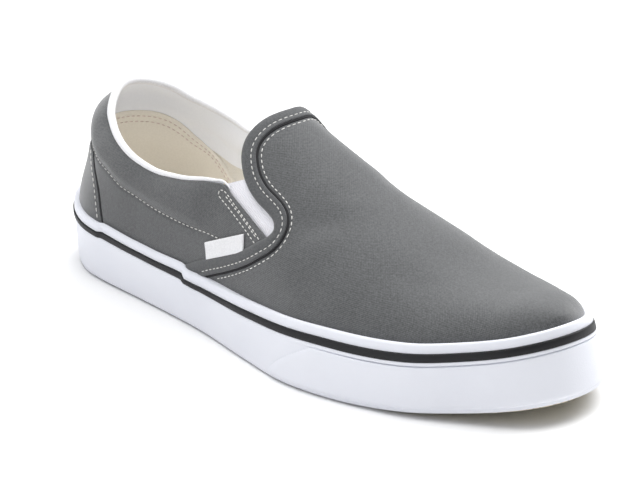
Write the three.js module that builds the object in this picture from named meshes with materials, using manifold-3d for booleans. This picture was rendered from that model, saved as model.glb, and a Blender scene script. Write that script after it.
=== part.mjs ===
// Slip-on sneaker, right shoe, standing empty on its sole.
// Millimetres, +Z up, toe towards +X, lateral side towards -Y, origin under the middle of its box.
// The shoe is worked out in a frame that starts at the back of the heel, then moved to the origin.

import * as THREE from "three";
import { mergeVertices } from "three/addons/utils/BufferGeometryUtils.js";
import Module from "manifold-3d";

const wasm = await Module();
wasm.setup();

// Driving sizes of the whole shoe
const LENGTH = 290;
const BALL_WIDTH = 102;
const INSTEP_HEIGHT = 89.3;
const HEEL_HEIGHT = 75.8;
const TOE_SPRING = 9;
const SPRING_START = 205;
const HEEL_ROUND = 36;
const TOE_ROUND = 55;
const TOE_POWER = 3;

// Sole
const FOXING_HEIGHT = 24.2;
const FOXING_WALL = 2.6;
const FOXING_BULGE = 0.6;
const FOXING_LIFT = 0.5;
const SOLE_THICKNESS = 15;
const TOP_BAND = 3.8;
const STRIPE_HEIGHT = 3;
const STRIPE_DEPTH = 1.1;
const STRIPE_STEP = 0.4;
const TOP_EDGE = 0.7;
const BUMPER_THICKNESS = 1.1;
const BUMPER_START = 170;
const BUMPER_SLANT = 22;
const BUMPER_LIP = 1.6;
const BUMPER_FOOT = 0.07;
const BUMPER_BLEND = 60;
const TREAD_RIM = 9;
const TREAD_DEPTH = 1.6;
const GROOVE_WIDTH = 3;
const GROOVE_PITCH = 12;
const REST_PAD = 24;
const HEEL_PAD_CENTRE = 48;
const BALL_PAD_CENTRE = 188;
const ARCH_START = 104;
const ARCH_END = 140;

// Upper
const UPPER_WALL = 2;
const UPPER_SET_IN = 1.8;
const UPPER_TUCK = 9;
const CANVAS = 1.2;
const HEEL_LEAN = 17.2;
const LATERAL_LEAN = 5.3;
const MEDIAL_LEAN = 2.8;
const LEAN_REACH = 60;
const COLLAR_PAD_OUT = 0.6;
const COLLAR_PAD_IN = 1.4;
const COLLAR_PAD_ROLL = 4;
const COLLAR_END = 113;

// Pieces on and in the upper
const GAP = 0.3;
const BINDING_WIDTH = 6.4;
const BINDING_THICKNESS = 1;
const STAY_THICKNESS = 0.8;
const PIPING = 2.2;
const GORE_THICKNESS = 1.1;
const GORE_SEAM = 5;
const LABEL_LENGTH = 25;
const LABEL_HEIGHT = 5.5;
const LABEL_THICKNESS = 0.6;
const INSOLE_THICKNESS = 4;
const INSOLE_EDGE = 1;

// Plan of the last: half widths as shares of the ball width, at shares of the length
const PLAN = [
  { along: 0, lateral: 0.302, medial: 0.324, drift: 0 },
  { along: 0.06, lateral: 0.329, medial: 0.354, drift: -0.001 },
  { along: 0.14, lateral: 0.366, medial: 0.369, drift: -0.003 },
  { along: 0.25, lateral: 0.388, medial: 0.353, drift: -0.006 },
  { along: 0.4, lateral: 0.426, medial: 0.335, drift: -0.01 },
  { along: 0.52, lateral: 0.489, medial: 0.361, drift: -0.012 },
  { along: 0.62, lateral: 0.537, medial: 0.418, drift: -0.005 },
  { along: 0.72, lateral: 0.524, medial: 0.466, drift: 0.003 },
  { along: 0.82, lateral: 0.461, medial: 0.463, drift: 0.01 },
  { along: 0.91, lateral: 0.36, medial: 0.4, drift: 0.018 },
  { along: 1, lateral: 0.32, medial: 0.36, drift: 0.025 },
];

// Side wall of the sole: height as a share of the foxing height, insets as shares of the ball width
const FOXING = [
  { along: 0, height: 1.157, foot: 0.028, top: 0.011 },
  { along: 0.21, height: 1.058, foot: 0.016, top: 0.009 },
  { along: 0.24, height: 1.05, foot: 0.014, top: 0.009 },
  { along: 0.48, height: 1, foot: -0.006, top: 0.028 },
  { along: 0.69, height: 1.13, foot: -0.024, top: 0.045 },
  { along: 0.86, height: 1.17, foot: -0.01, top: 0.055 },
  { along: 1, height: 1.273, foot: 0.002, top: 0.063 },
];

// Thickness of the sole under the foot, as shares of the sole thickness
const BED = [
  { along: 0, thick: 1.13 },
  { along: 0.25, thick: 1.1 },
  { along: 0.5, thick: 1 },
  { along: 0.7, thick: 0.95 },
  { along: 0.85, thick: 0.98 },
  { along: 1, thick: 1 },
];

// Dome of the last above the foxing: ridge height as a share of the instep rise,
// ridge drift as a share of the ball width, and the two roundness powers of each cross section
const DOME = [
  { along: 0, ridge: 1.29, drift: 0, across: 2.2, up: 2 },
  { along: 0.2, ridge: 1.214, drift: 0, across: 2.2, up: 1.95 },
  { along: 0.36, ridge: 1.074, drift: 0.006, across: 2.2, up: 1.92 },
  { along: 0.42, ridge: 1, drift: 0.015, across: 2.2, up: 1.9 },
  { along: 0.48, ridge: 0.878, drift: 0.023, across: 2.2, up: 1.86 },
  { along: 0.54, ridge: 0.745, drift: 0.03, across: 2.2, up: 1.86 },
  { along: 0.6, ridge: 0.617, drift: 0.035, across: 2.15, up: 1.9 },
  { along: 0.66, ridge: 0.5, drift: 0.037, across: 2.2, up: 1.97 },
  { along: 0.72, ridge: 0.398, drift: 0.039, across: 2.28, up: 2.05 },
  { along: 0.8, ridge: 0.282, drift: 0.038, across: 2.3, up: 2.22 },
  { along: 0.88, ridge: 0.214, drift: 0.035, across: 2.3, up: 2.45 },
  { along: 0.94, ridge: 0.165, drift: 0.03, across: 2.42, up: 2.58 },
  { along: 1, ridge: 0.065, drift: 0.02, across: 2.6, up: 2.7 },
];

// How far the quarters have leaned in by each share of their height
const LEAN = [
  { along: 0, lean: 0 },
  { along: 0.25, lean: 0.08 },
  { along: 0.5, lean: 0.28 },
  { along: 0.7, lean: 0.39 },
  { along: 0.85, lean: 0.48 },
  { along: 1, lean: 1 },
];

// Top line of the collar and the lower seam of its padding, above the foxing,
// as shares of the heel rise and of the instep rise
const COLLAR = [
  { along: 0.02, heel: 1.01, instep: 0, seam: 0.53 },
  { along: 0.06, heel: 1, instep: 0, seam: 0.525 },
  { along: 0.085, heel: 0.93, instep: 0, seam: 0.518 },
  { along: 0.11, heel: 0.82, instep: 0, seam: 0.5 },
  { along: 0.145, heel: 0.742, instep: 0, seam: 0.467 },
  { along: 0.18, heel: 0.688, instep: 0, seam: 0.408 },
  { along: 0.214, heel: 0.6, instep: 0.035, seam: 0.385 },
  { along: 0.255, heel: 0.5, instep: 0.098, seam: 0.355 },
  { along: 0.29, heel: 0.35, instep: 0.23, seam: 0.345 },
  { along: 0.325, heel: 0.18, instep: 0.385, seam: 0.342 },
  { along: 0.36, heel: 0.06, instep: 0.513, seam: 0.35 },
  { along: 0.388, heel: 0, instep: 0.58, seam: 0.36 },
];

// Front edge of the quarter, from the collar down to the foot of the gore
const QUARTER_FRONT = [
  { along: 0.4, up: 0.582 },
  { along: 0.418, up: 0.546 },
  { along: 0.45, up: 0.49 },
  { along: 0.484, up: 0.429 },
  { along: 0.51, up: 0.382 },
];

// Rear edge of the vamp, from the foxing round the foot of the gore and up the tab
const VAMP_EDGE = [
  { along: 0.33, up: -0.05 },
  { along: 0.36, up: 0.025 },
  { along: 0.39, up: 0.092 },
  { along: 0.432, up: 0.175 },
  { along: 0.478, up: 0.275 },
  { along: 0.502, up: 0.345 },
  { along: 0.518, up: 0.394 },
  { along: 0.523, up: 0.446 },
  { along: 0.512, up: 0.499 },
  { along: 0.496, up: 0.53 },
  { along: 0.468, up: 0.577 },
  { along: 0.442, up: 0.648 },
  { along: 0.418, up: 0.76 },
  { along: 0.408, up: 0.849 },
  { along: 0.407, up: 0.929 },
  { along: 0.409, up: 0.974 },
  { along: 0.416, up: 1.005 },
];
const NOTCH_ROW = 6;
const TAB_ROW = 11;

// Top edge of the gore, and the front edge of the heel stay
const GORE_TOP = [
  { along: 0.41, up: 0.598 },
  { along: 0.432, up: 0.672 },
];
const STAY_FRONT = [
  { along: 0.094, up: 0.39 },
  { along: 0.125, up: 0.22 },
  { along: 0.152, up: -0.02 },
];
const LABEL_CORNER = { along: 0.39, up: 0.13 };
const LABEL_TILT = 0.4;

// Sampling of the surfaces
const TURNS = 64;
const CLIMBS = 12;
const CURVE_STEPS = 3;
const BUMPER_STEPS = 32;
const PIPING_SIDES = 6;
const FULL_TURN = 2 * Math.PI;

/** Smooth curve through one column of a table, by the share in its column along. */
function tableCurve(rows, column) {
  const at = rows.map((row) => row.along);
  const value = rows.map((row) => row[column]);
  const step = at.slice(1).map((end, i) => end - at[i]);
  const rise = step.map((width, i) => (value[i + 1] - value[i]) / width);
  const slope = value.map((_, i) => {
    if (i === 0) return rise[0];
    if (i === step.length) return rise[i - 1];
    return (step[i] * rise[i - 1] + step[i - 1] * rise[i]) / (step[i] + step[i - 1]);
  });
  return (share) => {
    const place = THREE.MathUtils.clamp(share, at[0], at[at.length - 1]);
    let i = 0;
    while (i < step.length - 1 && place > at[i + 1]) i += 1;
    const t = (place - at[i]) / step[i];
    const start = value[i] + slope[i] * step[i] * t * (1 - t) * (1 - t);
    const blend = t * t * (3 - 2 * t);
    return start + (value[i + 1] - value[i]) * blend + slope[i + 1] * step[i] * t * t * (t - 1);
  };
}

const smooth = (value, from, to) => THREE.MathUtils.smoothstep(value, from, to);
const lateralWidth = tableCurve(PLAN, "lateral");
const medialWidth = tableCurve(PLAN, "medial");
const planDrift = tableCurve(PLAN, "drift");
const foxingShare = tableCurve(FOXING, "height");
const foxingFoot = tableCurve(FOXING, "foot");
const foxingHead = tableCurve(FOXING, "top");
const bedShare = tableCurve(BED, "thick");
const ridgeShare = tableCurve(DOME, "ridge");
const ridgeDrift = tableCurve(DOME, "drift");
const acrossPower = tableCurve(DOME, "across");
const upPower = tableCurve(DOME, "up");
const leanShare = tableCurve(LEAN, "lean");
const collarHeel = tableCurve(COLLAR, "heel");
const collarInstep = tableCurve(COLLAR, "instep");
const seamShare = tableCurve(COLLAR, "seam");

// Heights of the main lines in the side view, at a distance x from the back of the heel

/** Underside of the sole, which springs up towards the toe. */
function floorLine(x) {
  const t = THREE.MathUtils.clamp((x - SPRING_START) / (LENGTH - SPRING_START), 0, 1);
  return TOE_SPRING * t * t;
}

const foxingLine = (x) => floorLine(x) + FOXING_HEIGHT * foxingShare(x / LENGTH);
const bedLine = (x) => floorLine(x) + SOLE_THICKNESS * bedShare(x / LENGTH);
const instepRise = INSTEP_HEIGHT - FOXING_HEIGHT;
const heelRise = HEEL_HEIGHT - foxingLine(0);
const ridgeLine = (x) => foxingLine(x) + instepRise * ridgeShare(x / LENGTH);
const seamLine = (x) => foxingLine(x) + heelRise * seamShare(x / LENGTH);
const collarLine = (x) =>
  foxingLine(x) + heelRise * collarHeel(x / LENGTH) + instepRise * collarInstep(x / LENGTH);

/** Point of the side view from a table row with shares of the length and of the instep rise. */
function sidePoint(row) {
  const x = row.along * LENGTH;
  return new THREE.Vector2(x, foxingLine(x) + row.up * instepRise);
}

/** Smooth side-view curve through the rows of a table. */
function sideCurve(rows) {
  const curve = new THREE.SplineCurve(rows.map(sidePoint));
  return curve.getPoints((rows.length - 1) * CURVE_STEPS);
}

/** The same curve moved sideways, to its right when it is walked from its first point. */
function offsetCurve(points, distance) {
  return points.map((point, i) => {
    const before = points[Math.max(i - 1, 0)];
    const after = points[Math.min(i + 1, points.length - 1)];
    const way = after.clone().sub(before).normalize();
    return new THREE.Vector2(point.x + way.y * distance, point.y - way.x * distance);
  });
}

// Plan of the shoe. A turn of 0 is the back of the heel and half a turn is the toe,
// and turns up to half a turn run along the lateral side.

const alongOf = (turn) => LENGTH * (1 - Math.cos(turn)) / 2;
const turnOf = (x) => Math.acos(1 - 2 * x / LENGTH);

/** Rounding of the plan at the heel and the toe, as a share of the width. */
function endRound(x) {
  if (x < HEEL_ROUND) return Math.sqrt(Math.max(0, 1 - ((HEEL_ROUND - x) / HEEL_ROUND) ** 2));
  const t = Math.max(0, (x - LENGTH + TOE_ROUND) / TOE_ROUND);
  return Math.sqrt(Math.max(0, 1 - t ** TOE_POWER));
}

/** Outline of the last's plan, before any inset. */
function plan(turn) {
  const x = alongOf(turn);
  const share = x / LENGTH;
  const side = Math.sin(turn) >= 0 ? -lateralWidth(share) : medialWidth(share);
  return new THREE.Vector2(x, BALL_WIDTH * (planDrift(share) + side * endRound(x)));
}

/** Outline of the plan, moved inwards along its normal. */
function outline(turn, inset) {
  const step = 1e-3;
  const way = plan(turn + step).sub(plan(turn - step)).normalize();
  const point = plan(turn);
  return new THREE.Vector2(point.x - inset * way.y, point.y + inset * way.x);
}

/** How far the foxing draws in under the toe bumper, so that the bumper ends flush at the toe. */
function bumperRecess(turn) {
  return BUMPER_THICKNESS * smooth(alongOf(turn), BUMPER_START, BUMPER_START + BUMPER_BLEND);
}

/** Point on the outer face of the foxing, at a share of its height, moved inwards by depth. */
function foxingPoint(turn, share, depth) {
  const x = alongOf(turn);
  const foot = floorLine(x) + FOXING_LIFT;
  const slope = THREE.MathUtils.lerp(foxingFoot(x / LENGTH), foxingHead(x / LENGTH), share);
  const inset = BALL_WIDTH * slope - FOXING_BULGE * 4 * share * (1 - share);
  const point = outline(turn, inset + depth);
  return new THREE.Vector3(point.x, point.y, THREE.MathUtils.lerp(foot, foxingLine(x), share));
}

/** Share of the foxing's height at a distance below its top. */
function foxingShareBelow(turn, distance) {
  const x = alongOf(turn);
  return 1 - distance / (foxingLine(x) - floorLine(x) - FOXING_LIFT);
}

// Surface of the upper

/** Foot of the upper's dome in plan. */
function upperFoot(turn, depth) {
  const share = alongOf(turn) / LENGTH;
  return outline(turn, BALL_WIDTH * foxingHead(share) + UPPER_SET_IN + depth);
}

/** Inward lean of the quarters at the collar. */
function collarLean(turn) {
  const side = Math.sin(turn) >= 0 ? LATERAL_LEAN : MEDIAL_LEAN;
  return THREE.MathUtils.lerp(HEEL_LEAN, side, smooth(alongOf(turn), 0, LEAN_REACH));
}

/** Extra thickness of the padded collar, from 0 at its seam to 1 above it. */
function collarPad(x, z) {
  return smooth(z, seamLine(x), seamLine(x) + COLLAR_PAD_ROLL) * (1 - smooth(x, COLLAR_END, COLLAR_END + 8));
}

/** Height of the upper's surface at a climb from 0 at its foot to a quarter turn at the ridge. */
function upperHeight(turn, climb, depth) {
  const x = alongOf(turn);
  const foot = foxingLine(x) - UPPER_TUCK;
  return foot + (ridgeLine(x) - foot - depth) * Math.sin(climb) ** (2 / upPower(x / LENGTH));
}

/** Point on the upper, a depth inside its outer face. A swell makes the collar's pad thicker. */
function upperPoint(turn, climb, depth, swell = -COLLAR_PAD_OUT) {
  const x = alongOf(turn);
  const share = x / LENGTH;
  const z = upperHeight(turn, climb, depth);
  const padded = depth + swell * collarPad(x, z);
  const foot = upperFoot(turn, padded);
  const middle = (foot.x + upperFoot(FULL_TURN - turn, padded).x) / 2;
  const reach = middle - HEEL_ROUND - 10;
  const inHeel = HEEL_ROUND + 10 + (reach + Math.hypot(reach, 14)) / 2;
  const centre = new THREE.Vector2(
    THREE.MathUtils.lerp(inHeel, middle, THREE.MathUtils.clamp(reach / LEAN_REACH, 0, 1)),
    ridgeDrift(share) * BALL_WIDTH,
  );
  const shift = HEEL_LEAN * (1 - THREE.MathUtils.clamp(x / LEAN_REACH, 0, 1)) ** 2;
  const base = foxingLine(x) - UPPER_TUCK;
  const climbed = (z - base) / (collarLine(x + shift) - base);
  const leaned = collarLean(turn) * (leanShare(climbed) + 1.5 * Math.max(0, climbed - 1));
  const rear = Math.max(0, 1 - leaned / (foot.distanceTo(centre) + 1e-6));
  const front = Math.max(0, Math.cos(climb)) ** (2 / acrossPower(share));
  const pull = THREE.MathUtils.lerp(rear, front, smooth(x, 78, 118));
  const point = centre.lerp(foot, pull);
  return new THREE.Vector3(point.x, point.y, z);
}

/** Climb at which the upper reaches a height. */
function climbAt(turn, z) {
  const x = alongOf(turn);
  const foot = foxingLine(x) - UPPER_TUCK;
  const rise = THREE.MathUtils.clamp((z - foot) / (ridgeLine(x) - foot), 0, 1);
  return Math.asin(rise ** (upPower(x / LENGTH) / 2));
}

// Making solids

/** Closed solid from a list of triangles' corners. */
function solidOf(corners) {
  const loose = new THREE.BufferGeometry();
  loose.setAttribute("position", new THREE.Float32BufferAttribute(corners.flatMap((p) => [p.x, p.y, p.z]), 3));
  const merged = mergeVertices(loose, 1e-4);
  const index = merged.index.array;
  const kept = [];
  for (let i = 0; i < index.length; i += 3) {
    const [a, b, c] = [index[i], index[i + 1], index[i + 2]];
    if (a !== b && b !== c && c !== a) kept.push(a, b, c);
  }
  const mesh = new wasm.Mesh({
    numProp: 3,
    vertProperties: Float32Array.from(merged.getAttribute("position").array),
    triVerts: Uint32Array.from(kept),
  });
  return new wasm.Manifold(mesh);
}

/** Corners of the two triangles of a quad. */
const quad = (a, b, c, d) => [a, b, c, a, c, d];

/** Solid between rings of points, one above the other, each closed by strips across it. */
function stack(rings) {
  const corners = [];
  const count = rings[0].length;
  for (let level = 1; level < rings.length; level += 1) {
    for (let i = 0; i < count; i += 1) {
      const next = (i + 1) % count;
      corners.push(...quad(rings[level - 1][i], rings[level - 1][next], rings[level][next], rings[level][i]));
    }
  }
  const bottom = rings[0];
  const top = rings[rings.length - 1];
  for (let i = 0; i < count / 2; i += 1) {
    const far = (count - i) % count;
    corners.push(...quad(bottom[i], bottom[far], bottom[far === 0 ? count - 1 : far - 1], bottom[i + 1]));
    corners.push(...quad(top[i], top[i + 1], top[far === 0 ? count - 1 : far - 1], top[far]));
  }
  return solidOf(corners);
}

/** Solid swept through closed sections. The last section joins the first, or both ends are capped. */
function sweep(sections, closed) {
  const corners = [];
  const count = sections[0].length;
  const last = closed ? sections.length : sections.length - 1;
  for (let i = 0; i < last; i += 1) {
    const here = sections[i];
    const there = sections[(i + 1) % sections.length];
    for (let k = 0; k < count; k += 1) {
      const next = (k + 1) % count;
      corners.push(...quad(here[k], there[k], there[next], here[next]));
    }
  }
  if (!closed) {
    const [first, end] = [sections[0], sections[sections.length - 1]];
    for (let k = 1; k < count - 1; k += 1) {
      corners.push(first[0], first[k], first[k + 1], end[0], end[k + 1], end[k]);
    }
  }
  return solidOf(corners);
}

/** Prism across the shoe from a side-view outline, on both sides or on one. */
function sidePrism(points, fromY = -LENGTH, toY = LENGTH) {
  const shape = new THREE.Shape(points);
  const prism = new THREE.ExtrudeGeometry(shape, { depth: toY - fromY, bevelEnabled: false });
  prism.rotateX(Math.PI / 2);
  prism.translate(0, toY, 0);
  const place = prism.getAttribute("position");
  const corners = Array.from({ length: place.count }, (_, i) => new THREE.Vector3().fromBufferAttribute(place, i));
  return solidOf(corners);
}

const turns = Array.from({ length: TURNS }, (_, i) => FULL_TURN * i / TURNS);
const steps = (from, to, count) =>
  Array.from({ length: count + 1 }, (_, i) => THREE.MathUtils.lerp(from, to, i / count));

/** The upper's whole dome, a depth inside its outer face, reaching down past the floor. */
function dome(depth, swell) {
  const climbs = steps(0, Math.PI / 2, CLIMBS);
  const rings = climbs.map((climb) => turns.map((turn) => upperPoint(turn, climb, depth, swell)));
  const skirt = rings[0].map((point) => new THREE.Vector3(point.x, point.y, -SOLE_THICKNESS - depth));
  return stack([skirt, ...rings]);
}

/** Part of a thin layer that follows the upper, cut out by a side-view outline. */
function layer(outer, inner, cutter) {
  return dome(outer).subtract(dome(inner)).intersect(cutter);
}

// Side-view outlines

const high = 2 * INSTEP_HEIGHT;
const vampEdge = sideCurve(VAMP_EDGE);
const openVampEdge = sideCurve(VAMP_EDGE).slice(NOTCH_ROW * CURVE_STEPS);
const tabTop = vampEdge[vampEdge.length - 1];

/** Everything above the collar, behind the tab and in the gore notches. */
function throatOutline() {
  const collar = steps(0.02 * LENGTH, COLLAR_END, 40).map((x) => new THREE.Vector2(x, collarLine(x)));
  return [
    new THREE.Vector2(-LENGTH, collar[0].y),
    ...collar,
    ...sideCurve(QUARTER_FRONT),
    ...openVampEdge,
    new THREE.Vector2(tabTop.x + 1, high),
    new THREE.Vector2(-LENGTH, high),
  ];
}

/** Area behind each gore: the notch and a seam allowance under the quarter and the vamp. */
function goreOutline(extra) {
  const rear = offsetCurve(sideCurve(QUARTER_FRONT), GORE_SEAM + extra);
  const edge = vampEdge.slice((NOTCH_ROW - 1) * CURVE_STEPS, TAB_ROW * CURVE_STEPS + 1);
  const front = offsetCurve(edge, GORE_SEAM + extra);
  const top = GORE_TOP.map(sidePoint).reverse();
  const corner = rear[0].clone();
  top.forEach((point) => point.add(new THREE.Vector2(-extra, extra)));
  return [corner.add(new THREE.Vector2(-extra, extra)), ...rear.slice(1), ...front, ...top];
}

/** Band along the vamp's edge, above the foxing. */
function bindingOutline() {
  const front = offsetCurve(vampEdge, BINDING_WIDTH);
  const end = front[front.length - 1];
  return [...vampEdge, new THREE.Vector2(tabTop.x, high), new THREE.Vector2(end.x, high), ...front.reverse()];
}

/** Heel stay: below the collar's seam, behind its own front edge. */
function stayOutline() {
  const front = sideCurve(STAY_FRONT);
  const top = steps(0, front[0].x - 0.5, 8).map((x) => new THREE.Vector2(x, seamLine(x) - GAP));
  return [new THREE.Vector2(-LENGTH, top[0].y), ...top, ...front, new THREE.Vector2(-LENGTH, front[front.length - 1].y)];
}

/** Blank label on the lateral quarter, above the binding. */
function labelOutline() {
  const corner = sidePoint(LABEL_CORNER);
  const along = new THREE.Vector2(Math.cos(LABEL_TILT), Math.sin(LABEL_TILT)).multiplyScalar(LABEL_LENGTH);
  const up = new THREE.Vector2(-Math.sin(LABEL_TILT), Math.cos(LABEL_TILT)).multiplyScalar(LABEL_HEIGHT);
  return [corner, corner.clone().add(along), corner.clone().add(along).add(up), corner.clone().add(up)];
}

/** Prism of everything above or below a height line in the side view. */
function halfPrism(line, offset, above) {
  const edge = steps(-10, LENGTH + 10, 48).map((x) => {
    const inside = THREE.MathUtils.clamp(x, 0, LENGTH);
    return new THREE.Vector2(x, line(inside) + offset);
  });
  const far = above ? high : -high;
  return sidePrism([...edge, new THREE.Vector2(LENGTH + 10, far), new THREE.Vector2(-10, far)]);
}

// The pieces

/** Share of the foxing's height that the top of the sole reaches. */
function bedShareOf(turn) {
  const x = alongOf(turn);
  return foxingShareBelow(turn, foxingLine(x) - bedLine(x));
}

/** Sole slab inside the foxing, with transverse lugs, two flat pads and a raised waist. */
function outsole() {
  const edge = FOXING_WALL + GAP;
  const foot = turns.map((turn) => foxingPoint(turn, 0, edge + bumperRecess(turn)));
  const floor = foot.map((point) => point.clone().setZ(floorLine(point.x)));
  const bed = turns.map((turn) => foxingPoint(turn, bedShareOf(turn), edge + bumperRecess(turn)));
  bed.forEach((point) => point.setZ(bedLine(point.x)));
  return stack([floor, foot, bed]).subtract(tread());
}

/** Grooves and waist recess that the tread is cut by, inside its rim. */
function tread() {
  const rim = [-high, high].map((z) => turns.map((turn) => foxingPoint(turn, 0, FOXING_WALL + TREAD_RIM).setZ(z)));
  const cuts = [box(ARCH_START, ARCH_END, TREAD_DEPTH * 0.75)];
  const pads = [HEEL_PAD_CENTRE, BALL_PAD_CENTRE];
  for (let x = GROOVE_PITCH; x < LENGTH; x += GROOVE_PITCH) {
    const onPad = pads.some((centre) => Math.abs(x - centre) < (REST_PAD + GROOVE_WIDTH) / 2);
    const inArch = x > ARCH_START - GROOVE_WIDTH * 2 && x < ARCH_END + GROOVE_WIDTH * 2;
    if (!onPad && !inArch) cuts.push(box(x - GROOVE_WIDTH / 2, x + GROOVE_WIDTH / 2, floorLine(x) + TREAD_DEPTH));
  }
  return cuts.reduce((all, cut) => all.add(cut)).intersect(stack(rim));
}

/** Box across the shoe, from under the floor to a height. */
function box(fromX, toX, height) {
  return sidePrism([
    new THREE.Vector2(fromX, -high),
    new THREE.Vector2(toX, -high),
    new THREE.Vector2(toX, height),
    new THREE.Vector2(fromX, height),
  ]);
}

/** Point against the upper's outer face at a height, with the usual gap. */
function againstUpper(turn, z) {
  return upperPoint(turn, climbAt(turn, z), -GAP).setZ(z);
}

/** Rubber wall round the sole, with a groove for the stripe and a ledge over the sole. */
function foxing() {
  const sections = turns.map((turn) => {
    const top = foxingLine(alongOf(turn)) - GAP;
    const bandFoot = foxingShareBelow(turn, TOP_BAND);
    const stripeFoot = foxingShareBelow(turn, TOP_BAND + STRIPE_HEIGHT);
    const lipFoot = foxingShareBelow(turn, TOP_BAND + STRIPE_HEIGHT + BUMPER_LIP);
    const edge = foxingShareBelow(turn, TOP_EDGE);
    const recess = bumperRecess(turn);
    const rest = foxingPoint(turn, bedShareOf(turn), FOXING_WALL + recess);
    const ledge = againstUpper(turn, bedLine(alongOf(turn)) + GAP);
    return [
      foxingPoint(turn, 0, TOP_EDGE + recess),
      foxingPoint(turn, 0.05, recess),
      foxingPoint(turn, 0.35, recess),
      foxingPoint(turn, lipFoot, recess),
      foxingPoint(turn, lipFoot + 0.01, 0),
      foxingPoint(turn, stripeFoot, 0),
      foxingPoint(turn, stripeFoot + 0.01, STRIPE_DEPTH),
      foxingPoint(turn, bandFoot, STRIPE_DEPTH),
      foxingPoint(turn, bandFoot, STRIPE_STEP),
      foxingPoint(turn, edge, STRIPE_STEP),
      foxingPoint(turn, 1, STRIPE_STEP + TOP_EDGE),
      againstUpper(turn, top),
      againstUpper(turn, (top + ledge.z) / 2),
      ledge.setZ(bedLine(ledge.x) + GAP),
      rest.setZ(bedLine(rest.x) + GAP),
      foxingPoint(turn, 0, FOXING_WALL + recess),
    ];
  });
  return sweep(sections, true);
}

/** Coloured strip that lies in the foxing's groove and stands a little proud. */
function foxingStripe() {
  const sections = turns.map((turn) => {
    const head = foxingShareBelow(turn, TOP_BAND + GAP);
    const foot = foxingShareBelow(turn, TOP_BAND + STRIPE_HEIGHT - 2 * GAP);
    const inner = STRIPE_DEPTH - GAP;
    return [
      foxingPoint(turn, foot, inner),
      foxingPoint(turn, foot, 0),
      foxingPoint(turn, head, 0),
      foxingPoint(turn, head, inner),
    ];
  });
  return sweep(sections, true);
}

/** Second layer of rubber round the toe, with slanted ends. */
function toeBumper() {
  const levels = [0, 0.35, 0.7, 1];
  const sections = steps(0, 1, BUMPER_STEPS).map((step) => {
    const column = (depth, list) => list.map((level) => {
      const start = turnOf(BUMPER_START + BUMPER_SLANT * level);
      const turn = THREE.MathUtils.lerp(start, FULL_TURN - start, step);
      const head = foxingShareBelow(turn, TOP_BAND + STRIPE_HEIGHT + BUMPER_LIP + GAP);
      const share = THREE.MathUtils.lerp(BUMPER_FOOT, head, level);
      return foxingPoint(turn, share, depth + bumperRecess(turn));
    });
    return [...column(-GAP - BUMPER_THICKNESS, levels), ...column(-GAP, [...levels].reverse())];
  });
  return sweep(sections, false);
}

/** Canvas upper as one hollow wall, open at the collar, in the gore notches and underneath. */
function upper() {
  const goreRoom = dome(CANVAS).intersect(sidePrism(goreOutline(GAP)));
  return dome(0)
    .subtract(dome(UPPER_WALL, COLLAR_PAD_IN))
    .subtract(sidePrism(throatOutline()))
    .subtract(goreRoom)
    .intersect(halfPrism(bedLine, GAP, true));
}

/** Elastic gore under the notch of one side. */
function gore(fromY, toY) {
  const cutter = sidePrism(goreOutline(0), fromY, toY);
  return layer(CANVAS + GAP, CANVAS + GAP + GORE_THICKNESS, cutter);
}

/** Raised tape along the whole edge of the vamp. */
function vampBinding() {
  const cutter = sidePrism(bindingOutline()).intersect(halfPrism(foxingLine, GAP, true));
  return layer(-GAP - BINDING_THICKNESS, -GAP, cutter);
}

/** Second layer of canvas round the heel. */
function heelStay() {
  const cutter = sidePrism(stayOutline()).intersect(halfPrism(foxingLine, GAP, true));
  return layer(-GAP - STAY_THICKNESS, -GAP, cutter);
}

/** Blank woven label on the lateral quarter. */
function sideLabel() {
  return layer(-GAP - LABEL_THICKNESS, -GAP, sidePrism(labelOutline(), -LENGTH, 0));
}

/** Climb at which the outer face meets the collar's top line. */
function collarClimb(turn) {
  let [low, top] = [0, Math.PI / 2];
  for (let i = 0; i < 30; i += 1) {
    const middle = (low + top) / 2;
    const point = upperPoint(turn, middle, UPPER_WALL / 2);
    if (point.z > collarLine(point.x)) top = middle;
    else low = middle;
  }
  return low;
}

/** White bead along the collar's edge, from one quarter's front to the other's. */
function collarPiping() {
  const radius = PIPING / 2;
  const end = turnOf(COLLAR_END - 2);
  const centres = steps(-end, end, 60).map((turn) => {
    const whole = (turn + FULL_TURN) % FULL_TURN;
    const point = upperPoint(whole, collarClimb(whole), UPPER_WALL / 2);
    const slope = (collarLine(point.x + 1) - collarLine(point.x - 1)) / 2;
    const lift = new THREE.Vector3(-slope, 0, 1).normalize().multiplyScalar(radius + GAP);
    return point.add(lift);
  });
  const sections = centres.map((centre, i) => {
    const before = centres[Math.max(i - 1, 0)];
    const after = centres[Math.min(i + 1, centres.length - 1)];
    const way = after.clone().sub(before).normalize();
    const side = new THREE.Vector3().crossVectors(way, new THREE.Vector3(0, 0, 1)).normalize();
    const up = new THREE.Vector3().crossVectors(side, way);
    return steps(0, 1, PIPING_SIDES).slice(1).map((step) => centre.clone()
      .addScaledVector(side, radius * Math.cos(FULL_TURN * step))
      .addScaledVector(up, radius * Math.sin(FULL_TURN * step)));
  });
  return sweep(sections, false);
}

/** Insole on the sole, inside the upper's wall. */
function insole() {
  const edge = (extra, height) => turns.map((turn) => {
    const point = upperFoot(turn, UPPER_WALL + INSOLE_EDGE + extra);
    return new THREE.Vector3(point.x, point.y, bedLine(alongOf(turn)) + GAP + height);
  });
  return stack([edge(0, 0), edge(0, INSOLE_THICKNESS - 1), edge(1, INSOLE_THICKNESS)]);
}

// Materials

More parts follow.
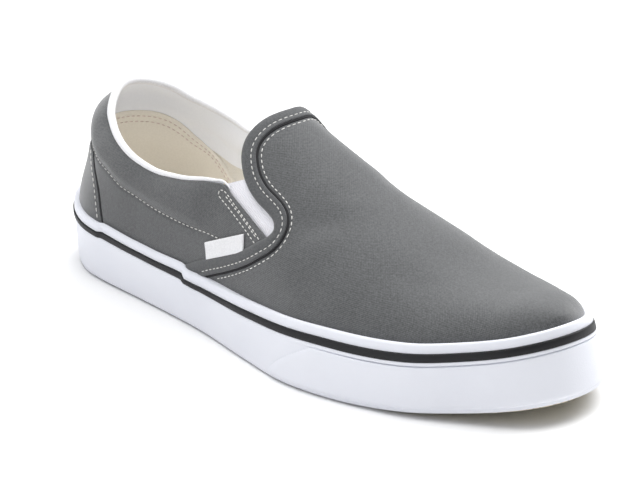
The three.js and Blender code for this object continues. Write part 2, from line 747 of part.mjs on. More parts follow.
const rubberWhite = new THREE.MeshStandardMaterial({ color: 0xeeeef2, roughness: 0.55, metalness: 0 });
const rubberBlack = new THREE.MeshStandardMaterial({ color: 0x1b1b1e, roughness: 0.5, metalness: 0 });
const rubberTread = new THREE.MeshStandardMaterial({ color: 0xd9cba8, roughness: 0.6, metalness: 0 });
const canvasGrey = new THREE.MeshStandardMaterial({ color: 0x5d5f61, roughness: 0.9, metalness: 0 });
const canvasWhite = new THREE.MeshStandardMaterial({ color: 0xf2f2f4, roughness: 0.85, metalness: 0 });
const elasticWhite = new THREE.MeshStandardMaterial({ color: 0xe4e2ee, roughness: 0.8, metalness: 0 });
const liningBeige = new THREE.MeshStandardMaterial({ color: 0xd8cdb6, roughness: 0.9, metalness: 0 });

// The shoe

const shoe = new THREE.Group();
const middleY = (Math.max(...turns.map((turn) => foxingPoint(turn, 0, 0).y))
  + Math.min(...turns.map((turn) => foxingPoint(turn, 0, 0).y))) / 2;
shoe.position.set(-LENGTH / 2, -middleY, 0);

/** Adds one piece to the shoe as a named mesh. */
function place(name, solid, material) {
  const mesh = solid.getMesh();
  const geometry = new THREE.BufferGeometry();
  geometry.setAttribute("position", new THREE.BufferAttribute(mesh.vertProperties, mesh.numProp));
  geometry.setIndex(new THREE.BufferAttribute(mesh.triVerts, 1));
  geometry.computeVertexNormals();
  const piece = new THREE.Mesh(geometry, material);
  piece.name = name;
  shoe.add(piece);
}

place("outsole", outsole(), rubberTread);
place("foxing", foxing(), rubberWhite);
place("foxing_stripe", foxingStripe(), rubberBlack);
place("toe_bumper", toeBumper(), rubberWhite);
place("upper", upper(), canvasGrey);
place("gore_lateral", gore(-LENGTH, 0), elasticWhite);
place("gore_medial", gore(0, LENGTH), elasticWhite);
place("vamp_binding", vampBinding(), canvasGrey);
place("heel_stay", heelStay(), canvasGrey);
place("side_label", sideLabel(), canvasWhite);
place("collar_piping", collarPiping(), canvasWhite);
place("insole", insole(), liningBeige);

export default shoe;
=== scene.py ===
"""Looks of a slip-on sneaker, a right shoe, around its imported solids.

Shapes are worked out in millimetres from the back of the heel, with the toe towards +X, the lateral side
towards -Y and the floor at 0, and are moved to the frame's origin in metres when a mesh is made.
"""

import logging
import math
from dataclasses import dataclass
from enum import Enum
from typing import Callable

import bmesh
import bpy
import numpy as np
from mathutils import Matrix, Vector


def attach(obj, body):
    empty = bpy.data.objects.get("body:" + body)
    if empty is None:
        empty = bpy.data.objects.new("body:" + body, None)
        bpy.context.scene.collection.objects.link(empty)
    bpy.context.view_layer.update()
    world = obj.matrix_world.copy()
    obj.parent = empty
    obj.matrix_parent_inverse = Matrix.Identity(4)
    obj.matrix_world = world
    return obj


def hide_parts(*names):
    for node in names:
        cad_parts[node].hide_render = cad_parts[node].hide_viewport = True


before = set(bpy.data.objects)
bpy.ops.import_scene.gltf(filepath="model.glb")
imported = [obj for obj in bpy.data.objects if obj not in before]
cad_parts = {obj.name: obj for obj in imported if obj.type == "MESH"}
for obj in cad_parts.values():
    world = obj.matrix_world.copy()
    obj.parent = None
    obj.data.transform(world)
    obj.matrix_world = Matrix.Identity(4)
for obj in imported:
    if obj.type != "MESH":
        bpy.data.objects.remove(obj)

LOG = logging.getLogger("shoe")
Array = np.ndarray
Span = tuple[float, float]
Colour = tuple[float, float, float]

# Main sizes of the last, thicknesses of the cloth and of a thread, in millimetres
LENGTH = 290.0
BALL_WIDTH = 102.0
INSTEP_HEIGHT = 89.3
HEEL_HEIGHT = 75.8
CANVAS = 1.2
WALL = 2.0
THREAD = 0.48

METRE = 0.001
FULL_TURN = 2 * math.pi
RIDGE = math.pi / 2


def smooth(value: Array, low: float, high: float) -> Array:
    """Smooth step from 0 at low to 1 at high."""
    t = np.clip((np.asarray(value, float) - low) / (high - low), 0, 1)
    return t * t * (3 - 2 * t)


def bump(value: Array, centre: float, half_width: float) -> Array:
    """Soft hump of height 1 at a centre, 0 beyond its half width."""
    t = np.clip(np.abs(np.asarray(value, float) - centre) / half_width, 0, 1)
    return (1 - t * t) ** 2


def unit(vectors: Array) -> Array:
    """Vectors of length 1."""
    return vectors / np.maximum(np.linalg.norm(vectors, axis=-1, keepdims=True), 1e-9)


class TableCurve:
    """Smooth curve through the rows of a table."""

    def __init__(self, at: list[float], values: list[float]) -> None:
        """Works out the slope at each row.

        Args:
            at: Places of the table's rows.
            values: Values at those places.
        """
        self.at = np.array(at, float)
        self.values = np.array(values, float)
        step = np.diff(self.at)
        rise = np.diff(self.values) / step
        inner = (step[1:] * rise[:-1] + step[:-1] * rise[1:]) / (step[1:] + step[:-1])
        self.slopes = np.concatenate([rise[:1], inner, rise[-1:]])

    def __call__(self, place: Array) -> Array:
        """Value at a place, held at the end rows beyond them.

        Args:
            place: Places asked for.

        Returns:
            Value at each place.
        """
        place = np.clip(place, self.at[0], self.at[-1])
        i = np.clip(np.searchsorted(self.at, place, side="right") - 1, 0, len(self.at) - 2)
        step = self.at[i + 1] - self.at[i]
        t = (place - self.at[i]) / step
        start = self.values[i] + self.slopes[i] * step * t * (1 - t) ** 2
        end = self.slopes[i + 1] * step * t * t * (t - 1)
        return start + (self.values[i + 1] - self.values[i]) * t * t * (3 - 2 * t) + end


# Half widths of the last's plan as shares of the ball width, at shares of the length
PLAN_AT = [0, 0.06, 0.14, 0.25, 0.4, 0.52, 0.62, 0.72, 0.82, 0.91, 1]
LATERAL = [0.302, 0.329, 0.366, 0.388, 0.426, 0.489, 0.537, 0.524, 0.461, 0.36, 0.32]
MEDIAL = [0.324, 0.354, 0.369, 0.353, 0.335, 0.361, 0.418, 0.466, 0.463, 0.4, 0.36]
DRIFT = [0, -0.001, -0.003, -0.006, -0.01, -0.012, -0.005, 0.003, 0.01, 0.018, 0.025]

# Side wall of the sole: height as a share of the foxing height, insets as shares of the ball width
FOXING_AT = [0, 0.21, 0.24, 0.48, 0.69, 0.86, 1]
FOXING_TALL = [1.157, 1.058, 1.05, 1, 1.13, 1.17, 1.273]
FOXING_FOOT = [0.028, 0.016, 0.014, -0.006, -0.024, -0.01, 0.002]
FOXING_HEAD = [0.011, 0.009, 0.009, 0.028, 0.045, 0.055, 0.063]

# Thickness of the sole under the foot, as shares of the sole thickness
BED_AT = [0, 0.25, 0.5, 0.7, 0.85, 1]
BED = [1.13, 1.1, 1, 0.95, 0.98, 1]

# Dome of the last: ridge height and drift, and the two roundness powers of its cross sections
DOME_AT = [0, 0.2, 0.36, 0.42, 0.48, 0.54, 0.6, 0.66, 0.72, 0.8, 0.88, 0.94, 1]
RIDGE_UP = [1.29, 1.214, 1.074, 1, 0.878, 0.745, 0.617, 0.5, 0.398, 0.282, 0.214, 0.165, 0.065]
RIDGE_DRIFT = [0, 0, 0.006, 0.015, 0.023, 0.03, 0.035, 0.037, 0.039, 0.038, 0.035, 0.03, 0.02]
ACROSS = [2.2, 2.2, 2.2, 2.2, 2.2, 2.2, 2.15, 2.2, 2.28, 2.3, 2.3, 2.42, 2.6]
UP = [2, 1.95, 1.92, 1.9, 1.86, 1.86, 1.9, 1.97, 2.05, 2.22, 2.45, 2.58, 2.7]

# How far the quarters have leaned in by each share of their height
LEAN_AT = [0, 0.25, 0.5, 0.7, 0.85, 1]
LEAN = [0, 0.08, 0.28, 0.39, 0.48, 1]

# Collar's top line and the lower seam of its padding, above the foxing
COLLAR_AT = [0.02, 0.06, 0.085, 0.11, 0.145, 0.18, 0.214, 0.255, 0.29, 0.325, 0.36, 0.388]
COLLAR_HEEL = [1.01, 1, 0.93, 0.82, 0.742, 0.688, 0.6, 0.5, 0.35, 0.18, 0.06, 0]
COLLAR_INSTEP = [0, 0, 0, 0, 0, 0, 0.035, 0.098, 0.23, 0.385, 0.513, 0.58]
COLLAR_SEAM = [0.53, 0.525, 0.518, 0.5, 0.467, 0.408, 0.385, 0.355, 0.345, 0.342, 0.35, 0.36]


@dataclass(frozen=True)
class Last:
    """Shape that the shoe is built on, and the wall of its sole."""

    toe_spring: float = 9.0
    spring_start: float = 205.0
    heel_round: float = 36.0
    toe_round: float = 55.0
    toe_power: float = 3.0
    foxing_height: float = 24.2
    foxing_bulge: float = 0.6
    foxing_lift: float = 0.5
    sole_thickness: float = 15.0
    set_in: float = 1.8
    tuck: float = 9.0
    heel_lean: float = 17.2
    lateral_lean: float = 5.3
    medial_lean: float = 2.8
    lean_reach: float = 60.0
    heel_core: float = 46.0
    core_knee: float = 14.0
    dome_from: float = 78.0
    dome_full: float = 118.0
    bumper_start: float = 170.0
    bumper_blend: float = 60.0
    bumper_thickness: float = 1.1
    hidden_edge: float = 3.5
    tab_sink: float = 1.7
    tab_middle: float = 120.0
    tab_reach: float = 36.0
    tab_climb: Span = (0.6, 1.4)

    lateral_width = TableCurve(PLAN_AT, LATERAL)
    medial_width = TableCurve(PLAN_AT, MEDIAL)
    plan_drift = TableCurve(PLAN_AT, DRIFT)
    foxing_tall = TableCurve(FOXING_AT, FOXING_TALL)
    foxing_foot = TableCurve(FOXING_AT, FOXING_FOOT)
    foxing_head = TableCurve(FOXING_AT, FOXING_HEAD)
    bed_share = TableCurve(BED_AT, BED)
    ridge_up = TableCurve(DOME_AT, RIDGE_UP)
    ridge_drift = TableCurve(DOME_AT, RIDGE_DRIFT)
    across_power = TableCurve(DOME_AT, ACROSS)
    up_power = TableCurve(DOME_AT, UP)
    lean_share = TableCurve(LEAN_AT, LEAN)
    collar_heel = TableCurve(COLLAR_AT, COLLAR_HEEL)
    collar_instep = TableCurve(COLLAR_AT, COLLAR_INSTEP)
    seam_share = TableCurve(COLLAR_AT, COLLAR_SEAM)

    def floor(self, x: Array) -> Array:
        """Height of the sole's underside, which springs up towards the toe."""
        t = np.clip((x - self.spring_start) / (LENGTH - self.spring_start), 0, 1)
        return self.toe_spring * t * t

    def foxing(self, x: Array) -> Array:
        """Height of the foxing's top edge."""
        return self.floor(x) + self.foxing_height * self.foxing_tall(x / LENGTH)

    def wall_height(self, x: Array) -> Array:
        """Height of the foxing's outer face from its foot."""
        return self.foxing(x) - self.floor(x) - self.foxing_lift

    def cloth_foot(self, x: Array) -> Array:
        """Height of the cloth's lower border, hidden behind the foxing."""
        return self.foxing(x) - self.hidden_edge

    def bed(self, x: Array) -> Array:
        """Height of the sole under the foot."""
        return self.floor(x) + self.sole_thickness * self.bed_share(x / LENGTH)

    def ridge(self, x: Array) -> Array:
        """Height of the dome's ridge."""
        return self.foxing(x) + (INSTEP_HEIGHT - self.foxing_height) * self.ridge_up(x / LENGTH)

    def collar_seam(self, x: Array) -> Array:
        """Height of the seam under the padded collar."""
        return self.foxing(x) + (HEEL_HEIGHT - self.foxing(0.0)) * self.seam_share(x / LENGTH)

    def collar(self, x: Array) -> Array:
        """Height of the collar's top line.

        Args:
            x: Distances from the back of the heel.

        Returns:
            Heights.
        """
        share = x / LENGTH
        heel = (HEEL_HEIGHT - self.foxing(0.0)) * self.collar_heel(share)
        return self.foxing(x) + heel + (INSTEP_HEIGHT - self.foxing_height) * self.collar_instep(share)

    def side_point(self, along: float, up: float) -> tuple[float, float]:
        """Point of the side view from its shares of the length and of the instep's rise."""
        x = along * LENGTH
        return x, float(self.foxing(x)) + up * (INSTEP_HEIGHT - self.foxing_height)

    def along(self, turn: Array) -> Array:
        """Distance from the back of the heel at a turn in plan."""
        return LENGTH * (1 - np.cos(turn)) / 2

    def turn(self, x: Array) -> Array:
        """Turn in plan on the lateral side at a distance from the back of the heel."""
        return np.arccos(np.clip(1 - 2 * np.asarray(x, float) / LENGTH, -1, 1))

    def plan(self, turn: Array) -> Array:
        """Outline of the last's plan, before any inset.

        Args:
            turn: Turns in plan.

        Returns:
            Points of the plan.
        """
        x = self.along(turn)
        share = x / LENGTH
        side = np.where(np.sin(turn) >= 0, -self.lateral_width(share), self.medial_width(share))
        heel = np.sqrt(np.clip(1 - (np.clip(self.heel_round - x, 0, None) / self.heel_round) ** 2, 0, 1))
        t = np.clip((x - LENGTH + self.toe_round) / self.toe_round, 0, 1)
        rounded = heel * np.sqrt(np.clip(1 - t**self.toe_power, 0, 1))
        return np.stack([x, BALL_WIDTH * (self.plan_drift(share) + side * rounded)], -1)

    def outline(self, turn: Array, inset: Array) -> Array:
        """Outline of the plan, moved inwards along its normal.

        Args:
            turn: Turns in plan.
            inset: Distance inwards.

        Returns:
            Points of the plan.
        """
        step = 1e-3
        way = unit(self.plan(turn + step) - self.plan(turn - step))
        point = self.plan(turn)
        return np.stack([point[..., 0] - inset * way[..., 1], point[..., 1] + inset * way[..., 0]], -1)

    def recess(self, turn: Array) -> Array:
        """How far the foxing draws in under the toe bumper.

        Args:
            turn: Turns in plan.

        Returns:
            Depths.
        """
        return self.bumper_thickness * smooth(
            self.along(turn), self.bumper_start, self.bumper_start + self.bumper_blend
        )

    def wall(self, turn: Array, share: Array, depth: Array) -> Array:
        """Point on the foxing's outer face at a share of its height, moved inwards by a depth.

        Args:
            turn: Turns in plan.
            share: Shares of the wall's height.
            depth: Distances inside the outer face.

        Returns:
            Points.
        """
        x = self.along(turn)
        foot = self.floor(x) + self.foxing_lift
        slope = self.foxing_foot(x / LENGTH) * (1 - share) + self.foxing_head(x / LENGTH) * share
        inset = BALL_WIDTH * slope - self.foxing_bulge * 4 * share * (1 - share)
        point = self.outline(turn, inset + depth)
        return np.concatenate([point, (foot + (self.foxing(x) - foot) * share)[..., None]], -1)

    def share_below(self, turn: Array, distance: Array) -> Array:
        """Share of the foxing's height at a distance below its top."""
        return 1 - distance / self.wall_height(self.along(turn))

    def upper_foot(self, turn: Array, depth: Array) -> Array:
        """Foot of the upper's dome in plan."""
        inset = BALL_WIDTH * self.foxing_head(self.along(turn) / LENGTH) + self.set_in
        return self.outline(turn, inset + depth)

    def upper(self, turn: Array, climb: Array, depth: Array) -> Array:
        """Point on the upper, a depth inside its outer face.

        Args:
            turn: Turn in plan, 0 at the heel and half a turn at the toe.
            climb: 0 at the dome's foot, a quarter turn at its ridge.
            depth: Distance inside the outer face.

        Returns:
            Points, one for each turn and climb.
        """
        turn, climb, depth = np.broadcast_arrays(
            np.asarray(turn, float), np.asarray(climb, float), np.asarray(depth, float)
        )
        x = self.along(turn)
        share = x / LENGTH
        base = self.foxing(x) - self.tuck
        risen = np.clip(np.sin(climb), 0, 1) ** (2 / self.up_power(share))
        z = base + (self.ridge(x) - base - depth) * risen
        z = z - self.tab_sink * bump(x, self.tab_middle, self.tab_reach) * smooth(climb, *self.tab_climb)
        foot = self.upper_foot(turn, depth)
        middle = (foot[..., 0] + self.upper_foot(FULL_TURN - turn, depth)[..., 0]) / 2
        reach = middle - self.heel_core
        in_heel = self.heel_core + (reach + np.hypot(reach, self.core_knee)) / 2
        t = np.clip(reach / self.lean_reach, 0, 1)
        centre = np.stack([in_heel * (1 - t) + middle * t, self.ridge_drift(share) * BALL_WIDTH], -1)
        shift = self.heel_lean * (1 - np.clip(x / self.lean_reach, 0, 1)) ** 2
        climbed = (z - base) / (self.collar(x + shift) - base)
        side = np.where(np.sin(turn) >= 0, self.lateral_lean, self.medial_lean)
        lean = self.heel_lean + (side - self.heel_lean) * smooth(x, 0, self.lean_reach)
        leaned = lean * (self.lean_share(climbed) + 1.5 * np.clip(climbed - 1, 0, None))
        rear = np.clip(1 - leaned / (np.linalg.norm(foot - centre, axis=-1) + 1e-6), 0, None)
        front = np.clip(np.cos(climb), 0, 1) ** (2 / self.across_power(share))
        blend = smooth(x, self.dome_from, self.dome_full)
        pull = rear * (1 - blend) + front * blend
        point = centre + (foot - centre) * pull[..., None]
        return np.concatenate([point, z[..., None]], -1)

    def over(self, turn: Array, girth: Array, depth: Array) -> Array:
        """Point on the upper with the girth running over the ridge, from 0 at the lateral foot to pi.

        Args:
            turn: Turns in plan.
            girth: Girths, from 0 at the lateral foot to pi.
            depth: Distances inside the outer face.

        Returns:
            Points.
        """
        turn, girth = np.broadcast_arrays(np.asarray(turn, float), np.asarray(girth, float))
        medial = girth > RIDGE
        turn = np.where(medial, FULL_TURN - turn, turn)
        return self.upper(turn, np.where(medial, math.pi - girth, girth), depth)

    def outward(self, turn: Array, climb: Array, depth: Array = 0.0) -> Array:
        """Direction out of the upper at a turn, a climb and a depth."""
        return unit(self.upper(turn, climb, depth - 1.0) - self.upper(turn, climb, depth + 1.0))

    def climb_at(self, turn: Array, z: Array) -> Array:
        """Climb at which the upper reaches a height.

        Args:
            turn: Turns in plan.
            z: Heights.

        Returns:
            Climbs.
        """
        x = self.along(turn)
        base = self.foxing(x) - self.tuck
        rise = np.clip((z - base) / (self.ridge(x) - base), 0, 1)
        return np.arcsin(rise ** (self.up_power(x / LENGTH) / 2))

    def climb_to(self, turn: Array, line: Callable[[Array], Array], depth: float = 0.0) -> Array:
        """Climb at which the upper meets a line of the side view.

        Args:
            turn: Turns in plan.
            line: Height of the line at a distance from the back of the heel.
            depth: Distance inside the outer face.

        Returns:
            One climb for each turn.
        """
        low = np.zeros_like(turn)
        high = np.full_like(turn, RIDGE)
        for _ in range(30):
            middle = (low + high) / 2
            point = self.upper(turn, middle, depth)
            above = point[..., 2] > line(point[..., 0])
            high = np.where(above, middle, high)
            low = np.where(above, low, middle)
        return low

    def from_side(self, x: Array, z: Array, medial: bool = False) -> tuple[Array, Array]:
        """Turn and climb of the upper's point that lies at a place of the side view.

        Args:
            x: Distances from the back of the heel.
            z: Heights.
            medial: Whether the side is medial.

        Returns:
            Turns and climbs.
        """
        x, z = np.asarray(x, float), np.asarray(z, float)
        plan_x = x.copy()
        for _ in range(12):
            turn = self.turn(plan_x)
            turn = FULL_TURN - turn if medial else turn
            climb = self.climb_at(turn, z)
            plan_x = np.clip(plan_x + x - self.upper(turn, climb, 0.0)[..., 0], 0.05, LENGTH - 0.05)
        return turn, climb


LAST = Last()

# Move from the back of the heel to the frame's origin, midway between the sole's sides
FOOT_Y = LAST.wall(np.arange(64) * FULL_TURN / 64, np.zeros(64), 0.0)[:, 1]
TO_ORIGIN = np.array([-LENGTH / 2, -(FOOT_Y.max() + FOOT_Y.min()) / 2, 0.0])


def spline(points: list[tuple[float, ...]], count: int) -> Array:
    """Evenly spaced points on a smooth curve through a few.

    Args:
        points: Points that the curve goes through.
        count: Number of points wanted.

    Returns:
        Points at equal distances along the curve.
    """
    given = np.array(points, float)
    at = np.concatenate([[0], np.cumsum(np.linalg.norm(np.diff(given, axis=0), axis=1) ** 0.5)])
    dense = np.linspace(0, at[-1], 40 * len(given))
    line = np.stack([TableCurve(list(at), list(column))(dense) for column in given.T], -1)
    return evenly(line, count)


def way_along(line: Array) -> Array:
    """Distance of each point along a line of points."""
    return np.concatenate([[0], np.cumsum(np.linalg.norm(np.diff(line, axis=0), axis=1))])


def point_at(line: Array, way: Array, places: Array) -> Array:
    """Points of a line at places along it, where way gives each point's own place."""
    return np.stack([np.interp(places, way, column) for column in line.T], -1)


def evenly(line: Array, count: int) -> Array:
    """Points at equal distances along a line of points."""
    way = way_along(line)
    return point_at(line, way, np.linspace(0, way[-1], count))


class MeshMaker:
    """Makes finished pieces out of grids of points."""

    CELL = "cell"
    UV_MAP = "weave"
    SAME_PLACE = 1e-6

    @staticmethod
    def grid(points: Array, uv: Array | None = None) -> bmesh.types.BMesh:
        """Sheet of quads on a grid of points, with a UV map in metres of cloth.

        Args:
            points: Columns by rows of points, in millimetres.
            uv: Cloth coordinates of each point, or None to measure them along the grid.

        Returns:
            The sheet, with each vertex's place in the grid in an integer layer.
        """
        columns, rows = points.shape[:2]
        bm = bmesh.new()
        bmesh.ops.create_grid(bm, x_segments=columns - 1, y_segments=rows - 1, size=0.5)
        cell = bm.verts.layers.int.new(MeshMaker.CELL)
        if uv is None:
            along = np.linalg.norm(np.diff(points, axis=0), axis=-1).mean(1)
            across = np.linalg.norm(np.diff(points, axis=1), axis=-1)
            u = np.concatenate([[0], np.cumsum(along)])
            v = np.concatenate([np.zeros((columns, 1)), np.cumsum(across, axis=1)], axis=1)
            uv = np.stack([np.broadcast_to(u[:, None], v.shape), v - v.mean(1, keepdims=True)], -1)
        place = (points + TO_ORIGIN) * METRE
        for vert in bm.verts:
            i = round((vert.co.x + 0.5) * (columns - 1))
            j = round((vert.co.y + 0.5) * (rows - 1))
            vert[cell] = i * rows + j
            vert.co = place[i, j]
        flat = uv.reshape(-1, 2) * METRE
        layer = bm.loops.layers.uv.new(MeshMaker.UV_MAP)
        for face in bm.faces:
            for loop in face.loops:
                loop[layer].uv = flat[loop.vert[cell]]
        return bm

    @staticmethod
    def finish(name: str, bm: bmesh.types.BMesh, sharp: float = 50.0) -> bpy.types.Object:
        """Object of a finished mesh, smooth but for its sharp edges.

        Args:
            name: Name of the piece.
            bm: Its mesh, which is freed.
            sharp: Angle in degrees past which an edge is sharp.

        Returns:
            The object, at the origin.
        """
        bmesh.ops.recalc_face_normals(bm, faces=bm.faces[:])
        mesh = bpy.data.meshes.new(name)
        bm.to_mesh(mesh)
        bm.free()
        mesh.shade_smooth()
        mesh.set_sharp_from_angle(angle=math.radians(sharp))
        piece = bpy.data.objects.new(name, mesh)
        bpy.context.scene.collection.objects.link(piece)
        return piece

    @staticmethod
    def slab(name: str, outer: Array, inner: Array, uv: Array | None = None) -> bpy.types.Object:
        """Closed sheet between two grids of points of the same size.

        Args:
            name: Name of the piece.
            outer: Grid of its outer face.
            inner: Grid of its inner face.
            uv: Cloth coordinates of the outer grid, or None to measure them.

        Returns:
            The piece.
        """
        bm = MeshMaker.grid(outer, uv)
        bmesh.ops.remove_doubles(bm, verts=bm.verts[:], dist=MeshMaker.SAME_PLACE)
        cell = bm.verts.layers.int[MeshMaker.CELL]
        under = ((inner + TO_ORIGIN) * METRE).reshape(-1, 3)
        raised = bmesh.ops.extrude_face_region(bm, geom=bm.faces[:])["geom"]
        for part in raised:
            if isinstance(part, bmesh.types.BMVert):
                part.co = under[part[cell]]
        return MeshMaker.finish(name, bm)

    @staticmethod
    def loft(name: str, sections: Array, sharp: float, ring: bool = False) -> bpy.types.Object:
        """Closed solid through closed sections, joined into a ring or capped at both ends.

        Args:
            name: Name of the piece.
            sections: Sections by points by 3, where each section closes on its first point.
            sharp: Angle in degrees past which an edge is sharp.
            ring: Whether the last section joins the first.

        Returns:
            The piece.
        """
        closed = np.concatenate([sections, sections[:, :1]], axis=1)
        if ring:
            closed = np.concatenate([closed, closed[:1]], axis=0)
        bm = MeshMaker.grid(closed)
        bmesh.ops.remove_doubles(bm, verts=bm.verts[:], dist=MeshMaker.SAME_PLACE)
        open_edges = [edge for edge in bm.edges if edge.is_boundary]
        if open_edges:
            bmesh.ops.holes_fill(bm, edges=open_edges, sides=0)
        return MeshMaker.finish(name, bm, sharp)

    @staticmethod
    def stitches(name: str, rows: list["StitchRow"]) -> bpy.types.Object:
        """Joined thread stitches along rows of points.

        Args:
            name: Name of the piece.
            rows: Rows of stitches.

        Returns:
            The piece.
        """
        seed = bmesh.new()
        bmesh.ops.create_uvsphere(seed, u_segments=8, v_segments=6, radius=1.0)
        stitch = bpy.data.meshes.new(name + "_seed")
        seed.to_mesh(stitch)
        seed.free()
        bm = bmesh.new()
        placed = Matrix.Identity(4)
        for row in rows:
            for place in row.places():
                stitch.transform(place @ placed.inverted())
                placed = place
                bm.from_mesh(stitch)
        bpy.data.meshes.remove(stitch)
        return MeshMaker.finish(name, bm, sharp=180.0)


@dataclass(frozen=True)
class StitchRow:
    """Row of stitches along a line that lies on a surface."""

    line: Array
    normals: Array
    pitch: float = 2.7
    gap: float = 0.8
    thread: float = THREAD
    sunk: float = 0.35

    def places(self) -> list[Matrix]:
        """Place, direction and size of each stitch.

        Returns:
            Matrices, in metres.
        """
        way = way_along(self.line)
        count = max(1, round(way[-1] / self.pitch))
        step = way[-1] / count
        made = []
        for i in range(count):
            start = point_at(self.line, way, step * i + self.gap / 2)
            end = point_at(self.line, way, step * (i + 1) - self.gap / 2)
            normal = unit(point_at(self.normals, way, step * (i + 0.5)))
            ahead = unit(end - start)
            side = unit(np.cross(normal, ahead))
            middle = (start + end) / 2 + normal * self.thread * (0.5 - self.sunk)
            half = np.linalg.norm(end - start) / 2
            thick = self.thread / 2
            axes = np.stack([ahead * half, side * thick, np.cross(ahead, side) * thick], -1)
            matrix = Matrix(axes.tolist()).to_4x4()
            matrix.translation = Vector(middle + TO_ORIGIN)
            made.append(Matrix.Scale(METRE, 4) @ matrix)
        return made


class Side(Enum):
    """Which side of the shoe a piece lies on."""

    LATERAL = "lateral"
    MEDIAL = "medial"


# Rear edge of the vamp in the side view, as shares of the length and of the instep's rise
VAMP_EDGE = [
    (0.318, -0.08),
    (0.36, 0.025),
    (0.39, 0.092),
    (0.432, 0.175),
    (0.478, 0.275),
    (0.502, 0.345),
    (0.518, 0.394),
    (0.523, 0.446),
    (0.512, 0.499),
    (0.496, 0.53),
    (0.468, 0.577),
    (0.442, 0.648),
    (0.418, 0.76),
    (0.408, 0.849),
    (0.4065, 0.929),
    (0.409, 0.974),
]
TAB_TOP = 0.4145
EDGE_POINTS = np.array([LAST.side_point(*row) for row in VAMP_EDGE])

# Slanted front edge of the quarters, in the same shares
QUARTER_FRONT = [(0.388, 0.585), (0.4, 0.582), (0.418, 0.546), (0.45, 0.49), (0.484, 0.429), (0.51, 0.382)]
FRONT_POINTS = np.array([LAST.side_point(*row) for row in QUARTER_FRONT])


class EdgeStrip:
    """Lines on the upper at set distances from the vamp's edge, from its lateral foot over the tab."""

    STEP = 0.5
    LOWEST = 0.05

    def __init__(self, columns: int = 420, nearest: float = -2.0, farthest: float = 13.0) -> None:
        """Walks outwards and inwards from the edge over the upper's surface.

        Args:
            columns: Number of points along the edge.
            nearest: Distance of the line farthest behind the edge.
            farthest: Distance of the line farthest in front of the edge.
        """
        turn, climb = LAST.from_side(*EDGE_POINTS.T)
        back_turn, back_climb = LAST.from_side(*EDGE_POINTS.T, medial=True)
        top = (float(LAST.turn(TAB_TOP * LENGTH)), RIDGE)
        rows = [*zip(turn, climb), top, *zip(FULL_TURN - back_turn[::-1], math.pi - back_climb[::-1])]
        dense = spline([(float(t), float(c)) for t, c in rows], 12 * columns)
        way = way_along(LAST.over(dense[:, 0], dense[:, 1], 0.0))
        start = point_at(dense, way, np.linspace(0, way[-1], columns))
        self.distances = np.arange(nearest, farthest + 1e-6, self.STEP)
        lines = {0: start}
        for sign, last in ((1, farthest), (-1, -nearest)):
            line = start
            for k in range(1, round(last / self.STEP) + 1):
                line = self.walk(line, sign * self.STEP)
                lines[sign * k] = line
        self.chart = np.stack([lines[k] for k in sorted(lines)], 1)
        self.points = LAST.over(self.chart[..., 0], self.chart[..., 1], 0.0)
        self.normals = unit(np.cross(*self.ways(self.chart)))

    @staticmethod
    def ways(chart: Array) -> tuple[Array, Array]:
        """Directions of the surface along its turn and its girth.

        Args:
            chart: Turns and girths.

        Returns:
            Change of place with the turn and with the girth.
        """
        e = 1e-4
        turn, girth = chart[..., 0], chart[..., 1]
        by_turn = (LAST.over(turn + e, girth, 0.0) - LAST.over(turn - e, girth, 0.0)) / (2 * e)
        by_girth = (LAST.over(turn, girth + e, 0.0) - LAST.over(turn, girth - e, 0.0)) / (2 * e)
        return by_turn, by_girth

    @classmethod
    def walk(cls, line: Array, step: float) -> Array:
        """Line moved sideways over the surface by a small step, towards the toe when it is positive.

        Args:
            line: Turns and girths along a line.
            step: Distance to move, in millimetres.

        Returns:
            Moved line.
        """
        by_turn, by_girth = cls.ways(line)
        normal = unit(np.cross(by_turn, by_girth))
        points = LAST.over(line[:, 0], line[:, 1], 0.0)
        tangent = unit(np.gradient(points, axis=0))
        way = unit(np.cross(tangent, normal)) * step
        a, b, c = (by_turn**2).sum(-1), (by_turn * by_girth).sum(-1), (by_girth**2).sum(-1)
        p, q = (by_turn * way).sum(-1), (by_girth * way).sum(-1)
        det = np.maximum(a * c - b * b, 1e-6)
        moved = line + np.stack([(p * c - q * b) / det, (q * a - p * b) / det], -1)
        moved[:, 1] = np.clip(moved[:, 1], cls.LOWEST, math.pi - cls.LOWEST)
        relaxed = moved.copy()
        relaxed[1:-1] = (moved[:-2] + 2 * moved[1:-1] + moved[2:]) / 4
        return relaxed

    def pick(self, grid: Array, distance: float) -> Array:
        """Line of a grid of values at a distance from the edge.

        Args:
            grid: Values for each point and line of the strip.
            distance: Distance from the edge.

        Returns:
            Values along the line.
        """
        k = np.clip((distance - self.distances[0]) / self.STEP, 0, len(self.distances) - 1.001)
        low = int(k)
        share = k - low
        return grid[:, low] * (1 - share) + grid[:, low + 1] * share

    def line(self, distance: float, height: float = 0.0) -> Array:
        """Points at a distance from the edge and a height above the surface."""
        return self.pick(self.points, distance) + unit(self.pick(self.normals, distance)) * height

    def sections(self, profile: list[tuple[float, float]]) -> Array:
        """Sections across the edge from a profile of distances and heights."""
        return np.stack([self.line(distance, height) for distance, height in profile], 1)


# Shares of a crease's length over which it opens and closes
CREASE_OPENS = (0, 0.4)
CREASE_CLOSES = (0.6, 1)


